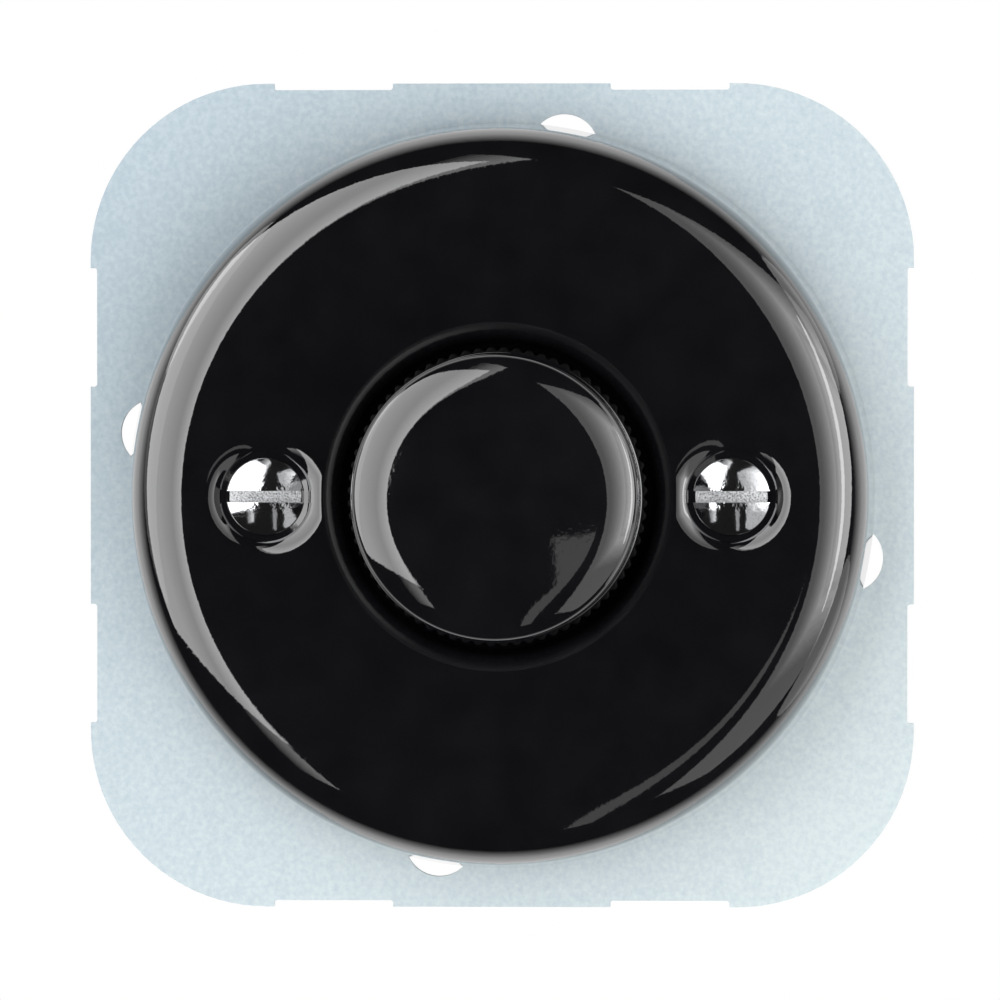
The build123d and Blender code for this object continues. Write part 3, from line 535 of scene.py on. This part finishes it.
def fuse_glass(name, tone, cap_start, metal):
    """Clear tube between two plated caps."""
    material, shader, place = blank(name)
    scratches = place.noise(1500.0, 3.0, 0.6)
    cap = place.part(0).size() > cap_start
    wire_up(
        shader,
        Base_Color=place.node("ShaderNodeMix", {"data_type": "RGBA"}, {
            0: cap,
            6: scratches.ramp((0.3, shade(tone, 0.9)), (0.7, tone)),
            7: scratches.ramp((0.3, shade(metal, 0.8)), (0.7, metal)),
        }, 2),
        Metallic=cap,
        Roughness=cap * 0.24 + scratches * 0.06 + 0.02,
        Alpha=cap * 0.65 + 0.35,
        Normal=scratches.bump(2.0e-6),
    )
    return material


def finish_for(slot):
    """The material of one of the record's slots, made once."""
    name = slot + "_finish"
    made = bpy.data.materials.get(name)
    if made:
        return made
    scene = bpy.context.scene
    cover = scene.dimmer_cover
    tones = {key: tuple(getattr(scene.dimmer_finishes, key)) for key in Finishes.__annotations__}
    coil_low, coil_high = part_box("choke_winding")
    kinds = {
        "black_porcelain": (glaze, "glaze", cover.ripple, cover.well_r, cover.well_r + cover.well_lip_r),
        "zinc_steel": (zinc, "zinc"),
        "chrome": (chrome, "chrome"),
        "brass": (turned_metal, "brass", 0.20, 0.42),
        "steel": (turned_metal, "steel", 0.24, 0.46),
        "cast_metal": (grainy_metal, "cast", 2200.0, 1.5e-5, 0.35, 0.55),
        "grey_plastic": (moulded_plastic, "grey", 2600.0, 3.0e-5, 0.48, 0.66),
        "white_plastic": (moulded_plastic, "white", 1500.0, 1.0e-5, 0.34, 0.48),
        "black_plastic": (moulded_plastic, "black", 2000.0, 2.0e-5, 0.40, 0.58),
        "track_board": (track_board, "track"),
        "circuit_board": (circuit_board, "board"),
        "ferrite": (moulded_plastic, "ferrite", 3200.0, 4.0e-5, 0.55, 0.75),
        "enamelled_wire": (wound_wire, "wire", (coil_low.x + coil_high.x) / 2),
        "capacitor_film": (moulded_plastic, "film", 1200.0, 1.2e-5, 0.28, 0.42),
        "fuse_glass": (fuse_glass, "fuse", 5.0 * MM, tones["steel"]),
    }
    make, tone, *details = kinds[slot]
    return make(name, tones[tone], *details)


def dress(*nodes):
    """Gives CAD nodes the finish of their slot."""
    for node in nodes:
        materials = frame["nodes"][node].data.materials
        materials.clear()
        materials.append(finish_for(SLOT_OF[node]))


class Pen:
    """Draws half sections point by point in edit mode and turns them about an axis out of the wall."""

    def __init__(self, name, axis_x, radius, height):
        bpy.ops.object.select_all(action="DESELECT")
        bpy.ops.mesh.primitive_plane_add(size=MM)
        self.piece = bpy.context.object
        self.piece.name = self.piece.data.name = name
        self.axis_x = axis_x
        self.at = (radius, height)
        bpy.ops.object.mode_set(mode="EDIT")
        bpy.ops.mesh.merge(type="CENTER")
        bpy.ops.transform.translate(value=(axis_x + radius, -height, 0.0))

    def line(self, radius, height, steps=1):
        """Straight stroke to a point, in equal steps."""
        step = ((radius - self.at[0]) / steps, (height - self.at[1]) / steps)
        for i in range(steps):
            bpy.ops.mesh.extrude_region_move(TRANSFORM_OT_translate={"value": (step[0], -step[1], 0.0)})
        self.at = (radius, height)

    def lines(self, *points):
        """Straight strokes from point to point."""
        for radius, height in points:
            self.line(radius, height)

    def arc(self, centre_r, centre_h, turn, steps):
        """Round stroke about a centre; a positive turn runs from the face towards the flank."""
        bpy.ops.mesh.spin(
            steps=steps,
            angle=-turn,
            center=(self.axis_x + centre_r, -centre_h, 0.0),
            axis=(0.0, 0.0, 1.0),
        )
        out, up = self.at[0] - centre_r, self.at[1] - centre_h
        self.at = (
            centre_r + out * cos(turn) + up * sin(turn),
            centre_h - out * sin(turn) + up * cos(turn),
        )

    def turn(self, steps):
        """Full turn of the drawn section; leaves edit mode and gives the piece."""
        bpy.ops.mesh.select_all(action="SELECT")
        bpy.ops.mesh.spin(
            steps=steps,
            angle=2 * pi,
            center=(self.axis_x, 0.0, 0.0),
            axis=(0.0, 1.0, 0.0),
            use_auto_merge=True,
        )
        bpy.ops.mesh.select_all(action="SELECT")
        bpy.ops.mesh.remove_doubles(threshold=1e-7)
        face_outwards()
        return self.piece


def pick(piece, test):
    """Selects the vertices of a piece in edit mode whose place passes a test."""
    bpy.ops.mesh.select_all(action="DESELECT")
    mesh = bmesh.from_edit_mesh(piece.data)
    found = 0
    for vertex in mesh.verts:
        if test(vertex.co):
            vertex.select_set(True)
            found += 1
    mesh.select_flush_mode()
    bmesh.update_edit_mesh(piece.data)
    if not found:
        raise ValueError("nothing to select on " + piece.name)


def face_outwards():
    """Turns all faces of the piece in edit mode outwards and leaves edit mode."""
    bpy.ops.mesh.select_all(action="SELECT")
    bpy.ops.mesh.normals_make_consistent(inside=False)
    bpy.ops.object.mode_set(mode="OBJECT")


def select_only(*pieces):
    """Selects pieces and nothing else; the first is the active one."""
    bpy.ops.object.select_all(action="DESELECT")
    for piece in pieces:
        piece.select_set(True)
    bpy.context.view_layer.objects.active = pieces[0]


def joined(pieces):
    """Several pieces made one mesh."""
    select_only(*pieces)
    bpy.ops.object.join()
    return pieces[0]


def smoothed(piece, limit):
    """Smooth shading, with edges sharper than a limit in degrees kept."""
    select_only(piece)
    bpy.ops.object.shade_smooth_by_angle(angle=radians(limit))


def placed(piece, node, body):
    """Makes a finished piece stand for a CAD node and ride on its body."""
    piece.data.materials.clear()
    piece.data.materials.append(finish_for(SLOT_OF[node]))
    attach(piece, body)
    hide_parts(node)
    return piece


class DIMMER_OT_glazed_cover(bpy.types.Operator):
    """Turns the glazed cover with its well and its two screw dishes"""

    bl_idname = "dimmer.glazed_cover"
    bl_label = "Glazed Cover"

    def shell(self, sizes, ceiling):
        """Outer ring: hollow, foot, flank and shoulder, with a narrow flat on the face."""
        slope = tan(sizes.draft)
        shoulder = sizes.top - sizes.shoulder_r
        flank_top = shoulder + sizes.shoulder_r * sin(sizes.draft)
        flank_r = sizes.foot_r - (flank_top - sizes.foot) * slope
        crest_r = flank_r - sizes.shoulder_r * cos(sizes.draft)
        hollow_r = sizes.inner_r - (ceiling - sizes.foot) * slope
        bend_r = hollow_r - sizes.inner_round
        pen = Pen("glazed_cover", 0.0, bend_r - SHELL_BACK_FLAT, ceiling)
        pen.line(bend_r, ceiling)
        pen.arc(bend_r, ceiling - sizes.inner_round, pi / 2, 8)
        pen.line(sizes.inner_r, sizes.foot, 4)
        pen.line(sizes.foot_r - sizes.foot_round, sizes.foot, 2)
        pen.arc(sizes.foot_r - sizes.foot_round, sizes.foot + sizes.foot_round, -(pi / 2 - sizes.draft), 6)
        pen.line(flank_r, flank_top, 8)
        pen.arc(crest_r, shoulder, -(pi / 2 - sizes.draft), 40)
        pen.line(crest_r - SHELL_FACE_FLAT, sizes.top)
        return pen.turn(WIDE_TURN)

    def well(self, sizes, ceiling):
        """Inner ring: lip, well, hole for the shaft and the wall behind them."""
        floor = sizes.top - sizes.well_depth
        under = floor - sizes.well_wall
        lip_r = sizes.well_r + sizes.well_lip_r
        wall_r = sizes.well_r + sizes.well_wall
        pen = Pen("well", 0.0, lip_r + FACE_FLAT, sizes.top)
        pen.line(lip_r, sizes.top)
        pen.arc(lip_r, sizes.top - sizes.well_lip_r, -pi / 2, 20)
        pen.line(sizes.well_r, floor + sizes.well_fillet_r)
        pen.arc(sizes.well_r - sizes.well_fillet_r, floor + sizes.well_fillet_r, pi / 2, 14)
        pen.line(sizes.hole_r + sizes.hole_round, floor, 3)
        pen.arc(sizes.hole_r + sizes.hole_round, floor - sizes.hole_round, -pi / 2, 6)
        pen.line(sizes.hole_r, under)
        pen.line(wall_r, under, 3)
        pen.lines((wall_r, ceiling), (wall_r + BACK_FLAT, ceiling))
        return pen.turn(WIDE_TURN)

    def dish(self, sizes, screws, ceiling, x):
        """Dish with a wide rounded lip, a narrow ledge, the countersink and the hole for the shank."""
        pen = Pen("dish", x, screws.dish_r + FACE_FLAT, sizes.top)
        pen.line(screws.dish_r, sizes.top)
        pen.arc(screws.dish_r, sizes.top - screws.dish_lip_r, -pi / 4, 24)
        pen.line(screws.seat_r, sizes.top - screws.sink_r + screws.seat_r)
        pen.line(screws.hole_r, sizes.top - screws.sink_r + screws.hole_r, 2)
        pen.lines((screws.hole_r, ceiling), (screws.hole_r + BACK_FLAT, ceiling))
        dish = pen.turn(DISH_TURN)
        self.draw_in(dish, sizes, screws, x)
        return dish

    def draw_in(self, dish, sizes, screws, x):
        """Draws in the side of a dish that faces the well, to keep it clear of the well's lip."""
        clear = sizes.well_r + sizes.well_lip_r + RING_GAP
        kept = screws.head_r
        full = screws.dish_r + FACE_FLAT
        for vertex in dish.data.vertices:
            out = Vector((vertex.co.x - x, 0.0, vertex.co.z))
            towards = -x * out.normalized().x
            past = towards**2 - x**2 + clear**2
            if out.length <= kept or towards <= 0 or past <= 0:
                continue
            reach = towards - sqrt(past)
            if reach < full:
                drawn = kept + (out.length - kept) * (reach - kept) / (full - kept)
                out *= drawn / out.length
                vertex.co.x, vertex.co.z = x + out.x, out.z

    def boss(self, screws, ceiling, x):
        """Boss behind a dish, let into the face from behind."""
        low, high = ceiling - screws.boss_drop, ceiling + 0.3 * MM
        bore_r = screws.hole_r + 0.05 * MM
        pen = Pen("boss", x, bore_r, high)
        pen.lines((bore_r, low), (screws.boss_r, low), (screws.boss_r, high), (bore_r, high))
        return pen.turn(BOSS_TURN)

    def execute(self, context):
        sizes = context.scene.dimmer_cover
        screws = context.scene.dimmer_screws
        ceiling = sizes.top - sizes.face_thick
        sides = [-screws.spacing / 2, screws.spacing / 2]
        rings = [self.shell(sizes, ceiling), self.well(sizes, ceiling)]
        rings += [self.dish(sizes, screws, ceiling, x) for x in sides]
        cover = joined(rings)
        bpy.ops.object.mode_set(mode="EDIT")
        for level in (sizes.top, ceiling):
            edge = self.open_edge(cover)
            pick(cover, lambda co: abs(co.y + level) < 1e-7 and self.key(co) in edge)
            bpy.ops.mesh.fill(use_beauty=True)
        face_outwards()
        cover = joined([cover] + [self.boss(screws, ceiling, x) for x in sides])
        smoothed(cover, 35)
        placed(cover, "porcelain_cover", "root")
        return {"FINISHED"}

    def key(self, co):
        """Place of a vertex, rounded so that it can be looked up."""
        return tuple(round(value * 1e7) for value in co)

    def open_edge(self, piece):
        """Places of the vertices on open edges of a piece in edit mode."""
        mesh = bmesh.from_edit_mesh(piece.data)
        return {self.key(vertex.co) for edge in mesh.edges if edge.is_boundary for vertex in edge.verts}


class DIMMER_OT_glazed_knob(bpy.types.Operator):
    """Turns the glazed knob and presses the flutes into its collar"""

    bl_idname = "dimmer.glazed_knob"
    bl_label = "Glazed Knob"

    def execute(self, context):
        sizes = context.scene.dimmer_knob
        turn = sizes.shoulder_turn
        edge_r = sizes.radius - sizes.edge_r + sizes.edge_r * sin(turn)
        shoulder_x = edge_r - sizes.shoulder_r * sin(turn)
        reach = sizes.dome_r - sizes.shoulder_r
        dome_centre = sizes.top - sizes.dome_r
        shoulder_h = dome_centre + sqrt(reach**2 - shoulder_x**2)
        lean = atan2(shoulder_x, shoulder_h - dome_centre)
        edge_h = shoulder_h + (sizes.shoulder_r - sizes.edge_r) * cos(turn)
        collar = sizes.foot + sizes.collar_height
        soft = sizes.collar_round
        crown = sizes.top - sizes.crown_thick
        pen = Pen("glazed_knob", 0.0, 0.0, sizes.top)
        pen.arc(0.0, dome_centre, lean, 10)
        pen.arc(shoulder_x, shoulder_h, turn - lean, 26)
        pen.arc(sizes.radius - sizes.edge_r, edge_h, pi / 2 - turn, 8)
        pen.line(sizes.radius, collar + soft, 4)
        pen.arc(sizes.radius + soft, collar + soft, -pi / 2, 4)
        pen.line(sizes.collar_r - soft, collar)
        pen.arc(sizes.collar_r - soft, collar - soft, pi / 2, 4)
        pen.line(sizes.collar_r, sizes.foot + soft, 2)
        pen.arc(sizes.collar_r - soft, sizes.foot + soft, pi / 2, 4)
        hollow = sizes.foot + sizes.hollow_depth
        pen.lines((sizes.hollow_out, sizes.foot), (sizes.hollow_out, hollow))
        pen.lines((sizes.hollow_in, hollow), (sizes.hollow_in, sizes.foot))
        pen.lines((sizes.bore_r, sizes.foot), (sizes.bore_r, crown), (0.0, crown))
        columns = 8
        knob = pen.turn(sizes.flutes * columns)
        self.press_flutes(knob, sizes, columns)
        smoothed(knob, 50)
        placed(knob, "porcelain_knob", "spindle")
        tone = tuple(context.scene.dimmer_finishes.glaze)
        knob.data.materials.append(dull_grip("dull_grip_finish", tone))
        for face in knob.data.polygons:
            if hypot(face.center.x, face.center.z) > sizes.radius + soft / 2:
                face.material_index = 1
        return {"FINISHED"}

    def press_flutes(self, knob, sizes, columns):
        """Draws the columns of each flute inwards, less towards its sides."""
        pitch = 360.0 / sizes.flutes
        half = pitch * sizes.flute_share / 2
        bpy.ops.object.mode_set(mode="EDIT")
        for column in range(columns // 2):
            aside = column * pitch / columns
            depth = sizes.flute_depth * (1 - (aside / half) ** 2)
            if depth <= 0:
                continue
            pick(knob, lambda co: self.in_flute(co, sizes, pitch, aside))
            pressed = 1 - depth / sizes.collar_r
            bpy.ops.transform.resize(value=(pressed, 1.0, pressed), center_override=(0.0, 0.0, 0.0))
        face_outwards()

    def in_flute(self, co, sizes, pitch, aside):
        """Whether a vertex lies on the collar's edge, in one column of the flutes."""
        if hypot(co.x, co.z) < sizes.collar_r - sizes.collar_round * 1.01:
            return False
        offset = (degrees(atan2(co.z, co.x)) + pitch / 2) % pitch - pitch / 2
        return abs(abs(offset) - aside) < 0.05


class DIMMER_OT_chrome_screws(bpy.types.Operator):
    """Turns the two raised-head screws and cuts their slots"""

    bl_idname = "dimmer.chrome_screws"
    bl_label = "Chrome Screws"

    def screw(self, sizes, name, x):
        """One screw with its slot level."""
        seat = sizes.top - sizes.dome
        dome_r = (sizes.head_r**2 + sizes.dome**2) / (2 * sizes.dome)
        lean = atan2(sizes.head_r, dome_r - sizes.dome)
        pen = Pen(name, x, 0.0, sizes.top)
        pen.arc(0.0, sizes.top - dome_r, lean, 24)
        neck = seat - sizes.head_r + sizes.shank_r
        pen.lines((sizes.shank_r, neck), (sizes.shank_r, sizes.end), (0.0, sizes.end))
        screw = pen.turn(SCREW_TURN)
        bpy.ops.object.select_all(action="DESELECT")
        bpy.ops.mesh.primitive_cube_add(size=1.0)
        cutter = bpy.context.object
        bpy.ops.object.mode_set(mode="EDIT")
        bpy.ops.transform.resize(value=(3 * sizes.head_r, 2 * sizes.slot_depth, sizes.slot_width))
        bpy.ops.transform.translate(value=(x, -sizes.top, 0.0))
        bpy.ops.object.mode_set(mode="OBJECT")
        select_only(screw)
        cut = screw.modifiers.new("slot", "BOOLEAN")
        cut.operation = "DIFFERENCE"
        cut.solver = "EXACT"
        cut.object = cutter
        bpy.ops.object.modifier_apply(modifier=cut.name)
        bpy.data.objects.remove(cutter)
        soft = screw.modifiers.new("edges", "BEVEL")
        soft.width = 0.09 * MM
        soft.segments = 2
        soft.limit_method = "ANGLE"
        soft.angle_limit = radians(50)
        bpy.ops.object.modifier_apply(modifier=soft.name)
        smoothed(screw, 40)
        return screw

    def execute(self, context):
        sizes = context.scene.dimmer_screws
        floor_level = sizes.top - sizes.slot_depth
        grainy = slot_floor("slot_floor_finish", tuple(context.scene.dimmer_finishes.chrome))
        burr_width, level_gap = 0.12 * MM, 0.02 * MM
        for name, side in (("chrome_screw_left", -1), ("chrome_screw_right", 1)):
            screw = placed(self.screw(sizes, name, side * sizes.spacing / 2), "cover_screws", "root")
            screw.data.materials.append(grainy)
            for face in screw.data.polygons:
                aside = abs(face.center.z) - sizes.slot_width / 2
                burr = 0 < aside < burr_width and 0.3 < abs(face.normal.z) < 0.95
                floor = aside < 0 and abs(-face.center.y - floor_level) < level_gap
                if floor or burr:
                    face.material_index = 1
        return {"FINISHED"}


class DIMMER_OT_plate_finish(bpy.types.Operator):
    """Finishes the support plate and its posts"""

    bl_idname = "dimmer.plate_finish"
    bl_label = "Plate"

    def execute(self, context):
        dress("support_plate", "screw_posts")
        return {"FINISHED"}


class DIMMER_OT_module_finish(bpy.types.Operator):
    """Finishes the module's housing, screws and terminals"""

    bl_idname = "dimmer.module_finish"
    bl_label = "Module"

    def execute(self, context):
        dress("module_lid", "module_base", "module_screws", "terminal_cages", "terminal_screws")
        return {"FINISHED"}


class DIMMER_OT_control_finish(bpy.types.Operator):
    """Finishes the shaft, its bearing and the potentiometer"""

    bl_idname = "dimmer.control_finish"
    bl_label = "Shaft and Potentiometer"

    def execute(self, context):
        dress("knob_sleeve", "control_shaft", "shaft_ring", "pot_bushing", "lock_washer", "bushing_nut")
        dress("pot_case", "resistor_track", "wiper_rotor", "wiper_brush")
        return {"FINISHED"}


class DIMMER_OT_return_spring(bpy.types.Operator):
    """Winds the return spring at one length, though the real one shortens as the knob is pushed"""

    bl_idname = "dimmer.return_spring"
    bl_label = "Return Spring"

    def execute(self, context):
        sizes = context.scene.dimmer_spring
        start = SPRING_LOW.y + sizes.wire_r
        end = SPRING_HIGH.y - sizes.wire_r
        bpy.ops.object.select_all(action="DESELECT")
        bpy.ops.mesh.primitive_circle_add(vertices=16, radius=sizes.wire_r)
        spring = bpy.context.object
        spring.name = spring.data.name = "coiled_spring"
        bpy.ops.object.mode_set(mode="EDIT")
        bpy.ops.transform.translate(value=(sizes.outer_r - sizes.wire_r, start, 0.0))
        bpy.ops.object.mode_set(mode="OBJECT")
        coil = spring.modifiers.new("coil", "SCREW")
        coil.axis = "Y"
        coil.iterations = sizes.turns
        coil.screw_offset = (end - start) / sizes.turns
        coil.steps = coil.render_steps = 40
        bpy.ops.object.modifier_apply(modifier=coil.name)
        bpy.ops.object.mode_set(mode="EDIT")
        for level in (start, end):
            pick(spring, lambda co: self.on_end(co, level, sizes.wire_r))
            bpy.ops.mesh.edge_face_add()
        face_outwards()
        smoothed(spring, 60)
        placed(spring, "return_spring", "root")
        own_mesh(spring)
        return {"FINISHED"}

    def on_end(self, co, level, wire_r):
        """Whether a vertex lies on the wire's end at a level."""
        return co.x > 0 and abs(co.z) < 1e-7 and abs(co.y - level) < wire_r * 1.01


class DIMMER_OT_switch_finish(bpy.types.Operator):
    """Finishes the push switch"""

    bl_idname = "dimmer.switch_finish"
    bl_label = "Push Switch"

    def execute(self, context):
        dress("switch_case", "switch_plunger", "contact_bridge", "fixed_contacts")
        return {"FINISHED"}


class DIMMER_OT_circuit_finish(bpy.types.Operator):
    """Finishes the board and the components on it"""

    bl_idname = "dimmer.circuit_finish"
    bl_label = "Circuit"

    def execute(self, context):
        dress("circuit_board", "choke_core", "choke_winding", "film_capacitor", "bulk_capacitor")
        dress("power_transistors", "fuse_link", "fuse_clips")
        return {"FINISHED"}


class DIMMER_OT_stage(bpy.types.Operator):
    """Sets the camera, the soft boxes, the surroundings and the floor"""

    bl_idname = "dimmer.stage"
    bl_label = "Stage"

    def camera(self, settings):
        """Camera a little to the right of the middle and above it."""
        data = bpy.data.cameras.new("camera")
        data.sensor_width = 36.0
        data.lens = data.sensor_width * settings.distance / settings.across
        data.clip_start = 0.01
        camera = bpy.data.objects.new("camera", data)
        bpy.context.scene.collection.objects.link(camera)
        place = Vector((settings.right, -1.0, settings.above)) * settings.distance
        aim = Vector((-0.17, 0.0, -0.40)) * MM
        camera.location = place
        camera.rotation_euler = (aim - place).to_track_quat("-Z", "Y").to_euler()
        bpy.context.scene.camera = camera

    def soft_box(self, name, middle, along, facing, sides, scale, brightness, shape="RECTANGLE"):
        """Flat lamp, its first side along one direction, facing another; scale sizes place and sides."""
        data = bpy.data.lights.new(name, "AREA")
        data.shape = shape
        width, height = (side * scale for side in sides)
        data.size, data.size_y = width, height
        area = width * height * (pi / 4 if shape == "ELLIPSE" else 1.0)
        data.energy = brightness * pi * area
        lamp = bpy.data.objects.new(name, data)
        bpy.context.scene.collection.objects.link(lamp)
        back = -facing.normalized()
        top = back.cross(along).normalized()
        lamp.location = middle * scale
        lamp.rotation_euler = Matrix((top.cross(back), top, back)).transposed().to_euler()
        return lamp

    def side_lamp(self, name, turn, lean, sides, scale, brightness):
        """Round lamp beside the object: its turn about the axis and its lean from the front, in degrees."""
        turn, lean = radians(turn), radians(lean)
        place = Vector((sin(lean) * cos(turn), -cos(lean), sin(lean) * sin(turn)))
        round_about = Vector((-sin(turn), 0.0, cos(turn)))
        self.soft_box(name, place, round_about, -place, sides, scale, brightness, "ELLIPSE")

    def left_lamps(self, away, brightness):
        """Left soft box, brighter to its outer side, with a leaning inner edge and lamps beside it."""
        facing = Vector((0.682, 0.623, -0.375))
        along = Vector((0.681, -0.728, 0.029))
        inner_edge = Vector((-0.300, -1.142, 0.209))
        width, height = 1.587, 1.76
        bands = 6
        rises = [(f"left_rise_{i}", 0.46 + 0.08 * i, 0.04) for i in range(bands)]
        for name, start, share in [("left_soft_box", 0.0, 0.87)] + rises:
            middle = inner_edge - along * (start + width) / 2
            self.soft_box(name, middle, along, facing, (width - start, height), away, share * brightness)
        leaning = Vector((0.661, -0.750, -0.045))
        lower = Vector((-0.077, -0.083, -0.278))
        for i in range(bands):
            width, height = 0.06 + 0.06 * i, 3.0
            middle = inner_edge + lower - leaning * width / 2
            self.soft_box(
                f"left_edge_{i}", middle, leaning, facing, (width, height), away, 0.08 * brightness
            )
        glow, glow_along = Vector((-1.21, -0.09, 0.27)), Vector((0.645, -0.756, -0.084))
        self.soft_box("left_glow", glow, glow_along, facing, (0.90, 1.60), away, 0.2 * brightness, "ELLIPSE")
        self.side_lamp("left_rear_lamp", 146, 96, (0.53, 0.28), away, 0.55 * brightness)

    def right_lamps(self, away, brightness):
        """Right soft box, with a glow that rises in steps to a bright line, and lamps behind it."""
        facing = Vector((-0.754, 0.502, -0.424))
        along = Vector((0.586, 0.806, -0.089))
        box = Vector((1.329, -1.112, -1.319))
        self.soft_box("right_soft_box", box, along, facing, (1.40, 4.47), away, brightness)
        middle = Vector((0.873, -0.628, 0.064))
        upwards = Vector((-0.297, 0.315, 0.901))
        bands, high = 12, 0.70
        for i in range(bands):
            low = 0.12 - 0.62 * (1 - i / (bands - 1)) ** 1.3
            place = middle + along * (low + high) / 2 + upwards * (0.01 * i - 0.085)
            sides = (high - low, 1.53 - 0.08 * i)
            share = 0.16 + 0.05 * i
            self.soft_box(f"right_glow_{i}", place, along, facing, sides, away, share * brightness)
        line = middle + along * 0.265
        self.soft_box("right_line", line, along, facing, (0.13, 1.1), away, 4.5 * brightness, "ELLIPSE")
        self.side_lamp("upper_rear_lamp", 30, 95, (0.46, 0.46), away, 1.3 * brightness)
        self.side_lamp("lower_rear_lamp", -25, 92, (0.52, 0.54), away, 1.1 * brightness)

    def front_lamps(self, settings):
        """Narrow lamp in front, and a fill that glossy faces don't show."""
        inwards, rightwards = Vector((0.0, 1.0, 0.0)), Vector((1.0, 0.0, 0.0))
        strip, strip_along = Vector((0.351, -1.5, -1.20)), Vector((0.105, 0.0, -1.0))
        self.soft_box(
            "front_strip", strip, strip_along, inwards, (2.13, 0.175), settings.distance, settings.strip
        )
        fill = Vector((0.38, -0.85, -0.38)) * 0.8
        lamp = self.soft_box("fill", fill, rightwards, -fill, (0.8, 0.8), settings.distance, settings.fill)
        lamp.visible_glossy = False

    def surroundings(self):
        """White behind the object and for the camera, dark in front of it."""
        world = bpy.data.worlds.new("surroundings")
        bpy.context.scene.world = world
        world.use_nodes = True
        tree = world.node_tree
        background = tree.nodes["Background"]
        coordinates = tree.nodes.new("ShaderNodeTexCoord")
        light_path = tree.nodes.new("ShaderNodeLightPath")
        behind = Field(tree, coordinates.outputs["Generated"]).part(1)
        seen = Field(tree, light_path.outputs["Is Camera Ray"])
        ends = {0: behind, 1: cos(radians(84)), 2: cos(radians(60)), 3: 0.0, 4: 1.0}
        white = behind.node("ShaderNodeMapRange", {"clamp": True}, ends)
        strength = seen + (1 - seen) * (white * 0.95 + 0.012)
        background.inputs["Color"].default_value = (1.0, 1.0, 1.0, 1.0)
        tree.links.new(strength.socket, background.inputs["Strength"])

    def floor(self, settings):
        """Pale floor well below the object."""
        bpy.ops.object.select_all(action="DESELECT")
        bpy.ops.mesh.primitive_plane_add(size=1.2)
        floor = bpy.context.object
        floor.name = floor.data.name = "floor"
        bpy.ops.object.mode_set(mode="EDIT")
        bpy.ops.transform.translate(value=(0.0, 0.0, -settings.floor_drop))
        bpy.ops.object.mode_set(mode="OBJECT")
        tone = tuple(settings.floor_colour)
        material, shader, place = blank("floor_finish")
        cloud = place.noise(6.0, 3.0)
        wire_up(shader, Base_Color=cloud.ramp((0.3, shade(tone, 0.97)), (0.7, tone)), Roughness=0.8)
        floor.data.materials.append(material)
        floor.visible_glossy = False

    def execute(self, context):
        settings = context.scene.dimmer_stage
        self.camera(settings)
        self.left_lamps(settings.left_away, settings.left_box)
        self.right_lamps(settings.right_away, settings.right_box)
        self.front_lamps(settings)
        self.surroundings()
        self.floor(settings)
        context.scene.view_settings.view_transform = "Standard"
        return {"FINISHED"}


OPERATORS = (
    DIMMER_OT_glazed_cover,
    DIMMER_OT_glazed_knob,
    DIMMER_OT_chrome_screws,
    DIMMER_OT_plate_finish,
    DIMMER_OT_module_finish,
    DIMMER_OT_control_finish,
    DIMMER_OT_return_spring,
    DIMMER_OT_switch_finish,
    DIMMER_OT_circuit_finish,
    DIMMER_OT_stage,
)
GROUPS = {
    "dimmer_cover": CoverSizes,
    "dimmer_knob": KnobSizes,
    "dimmer_screws": ScrewSizes,
    "dimmer_spring": SpringSizes,
    "dimmer_finishes": Finishes,
    "dimmer_stage": StageSettings,
}


class DIMMER_PT_sidebar(bpy.types.Panel):
    """Pieces and settings of the dimmer"""

    bl_idname = "DIMMER_PT_sidebar"
    bl_label = "Porcelain Dimmer"
    bl_space_type = "VIEW_3D"
    bl_region_type = "UI"
    bl_category = "Dimmer"

    def draw(self, context):
        for operator in OPERATORS:
            self.layout.operator(operator.bl_idname)
        for name, group in GROUPS.items():
            box = self.layout.box()
            box.label(text=group.__name__)
            for key in group.__annotations__:
                box.prop(getattr(context.scene, name), key)


CLASSES = (*GROUPS.values(), *OPERATORS, DIMMER_PT_sidebar)


def register():
    for item in CLASSES:
        bpy.utils.register_class(item)
    for name, group in GROUPS.items():
        setattr(bpy.types.Scene, name, PointerProperty(type=group))


def unregister():
    for name in GROUPS:
        delattr(bpy.types.Scene, name)
    for item in reversed(CLASSES):
        bpy.utils.unregister_class(item)


def main():
    register()
    bpy.ops.dimmer.glazed_cover()
    bpy.ops.dimmer.glazed_knob()
    bpy.ops.dimmer.chrome_screws()
    bpy.ops.dimmer.plate_finish()
    bpy.ops.dimmer.module_finish()
    bpy.ops.dimmer.control_finish()
    bpy.ops.dimmer.return_spring()
    bpy.ops.dimmer.switch_finish()
    bpy.ops.dimmer.circuit_finish()
    bpy.ops.dimmer.stage()


if __name__ == "__main__":
    main()
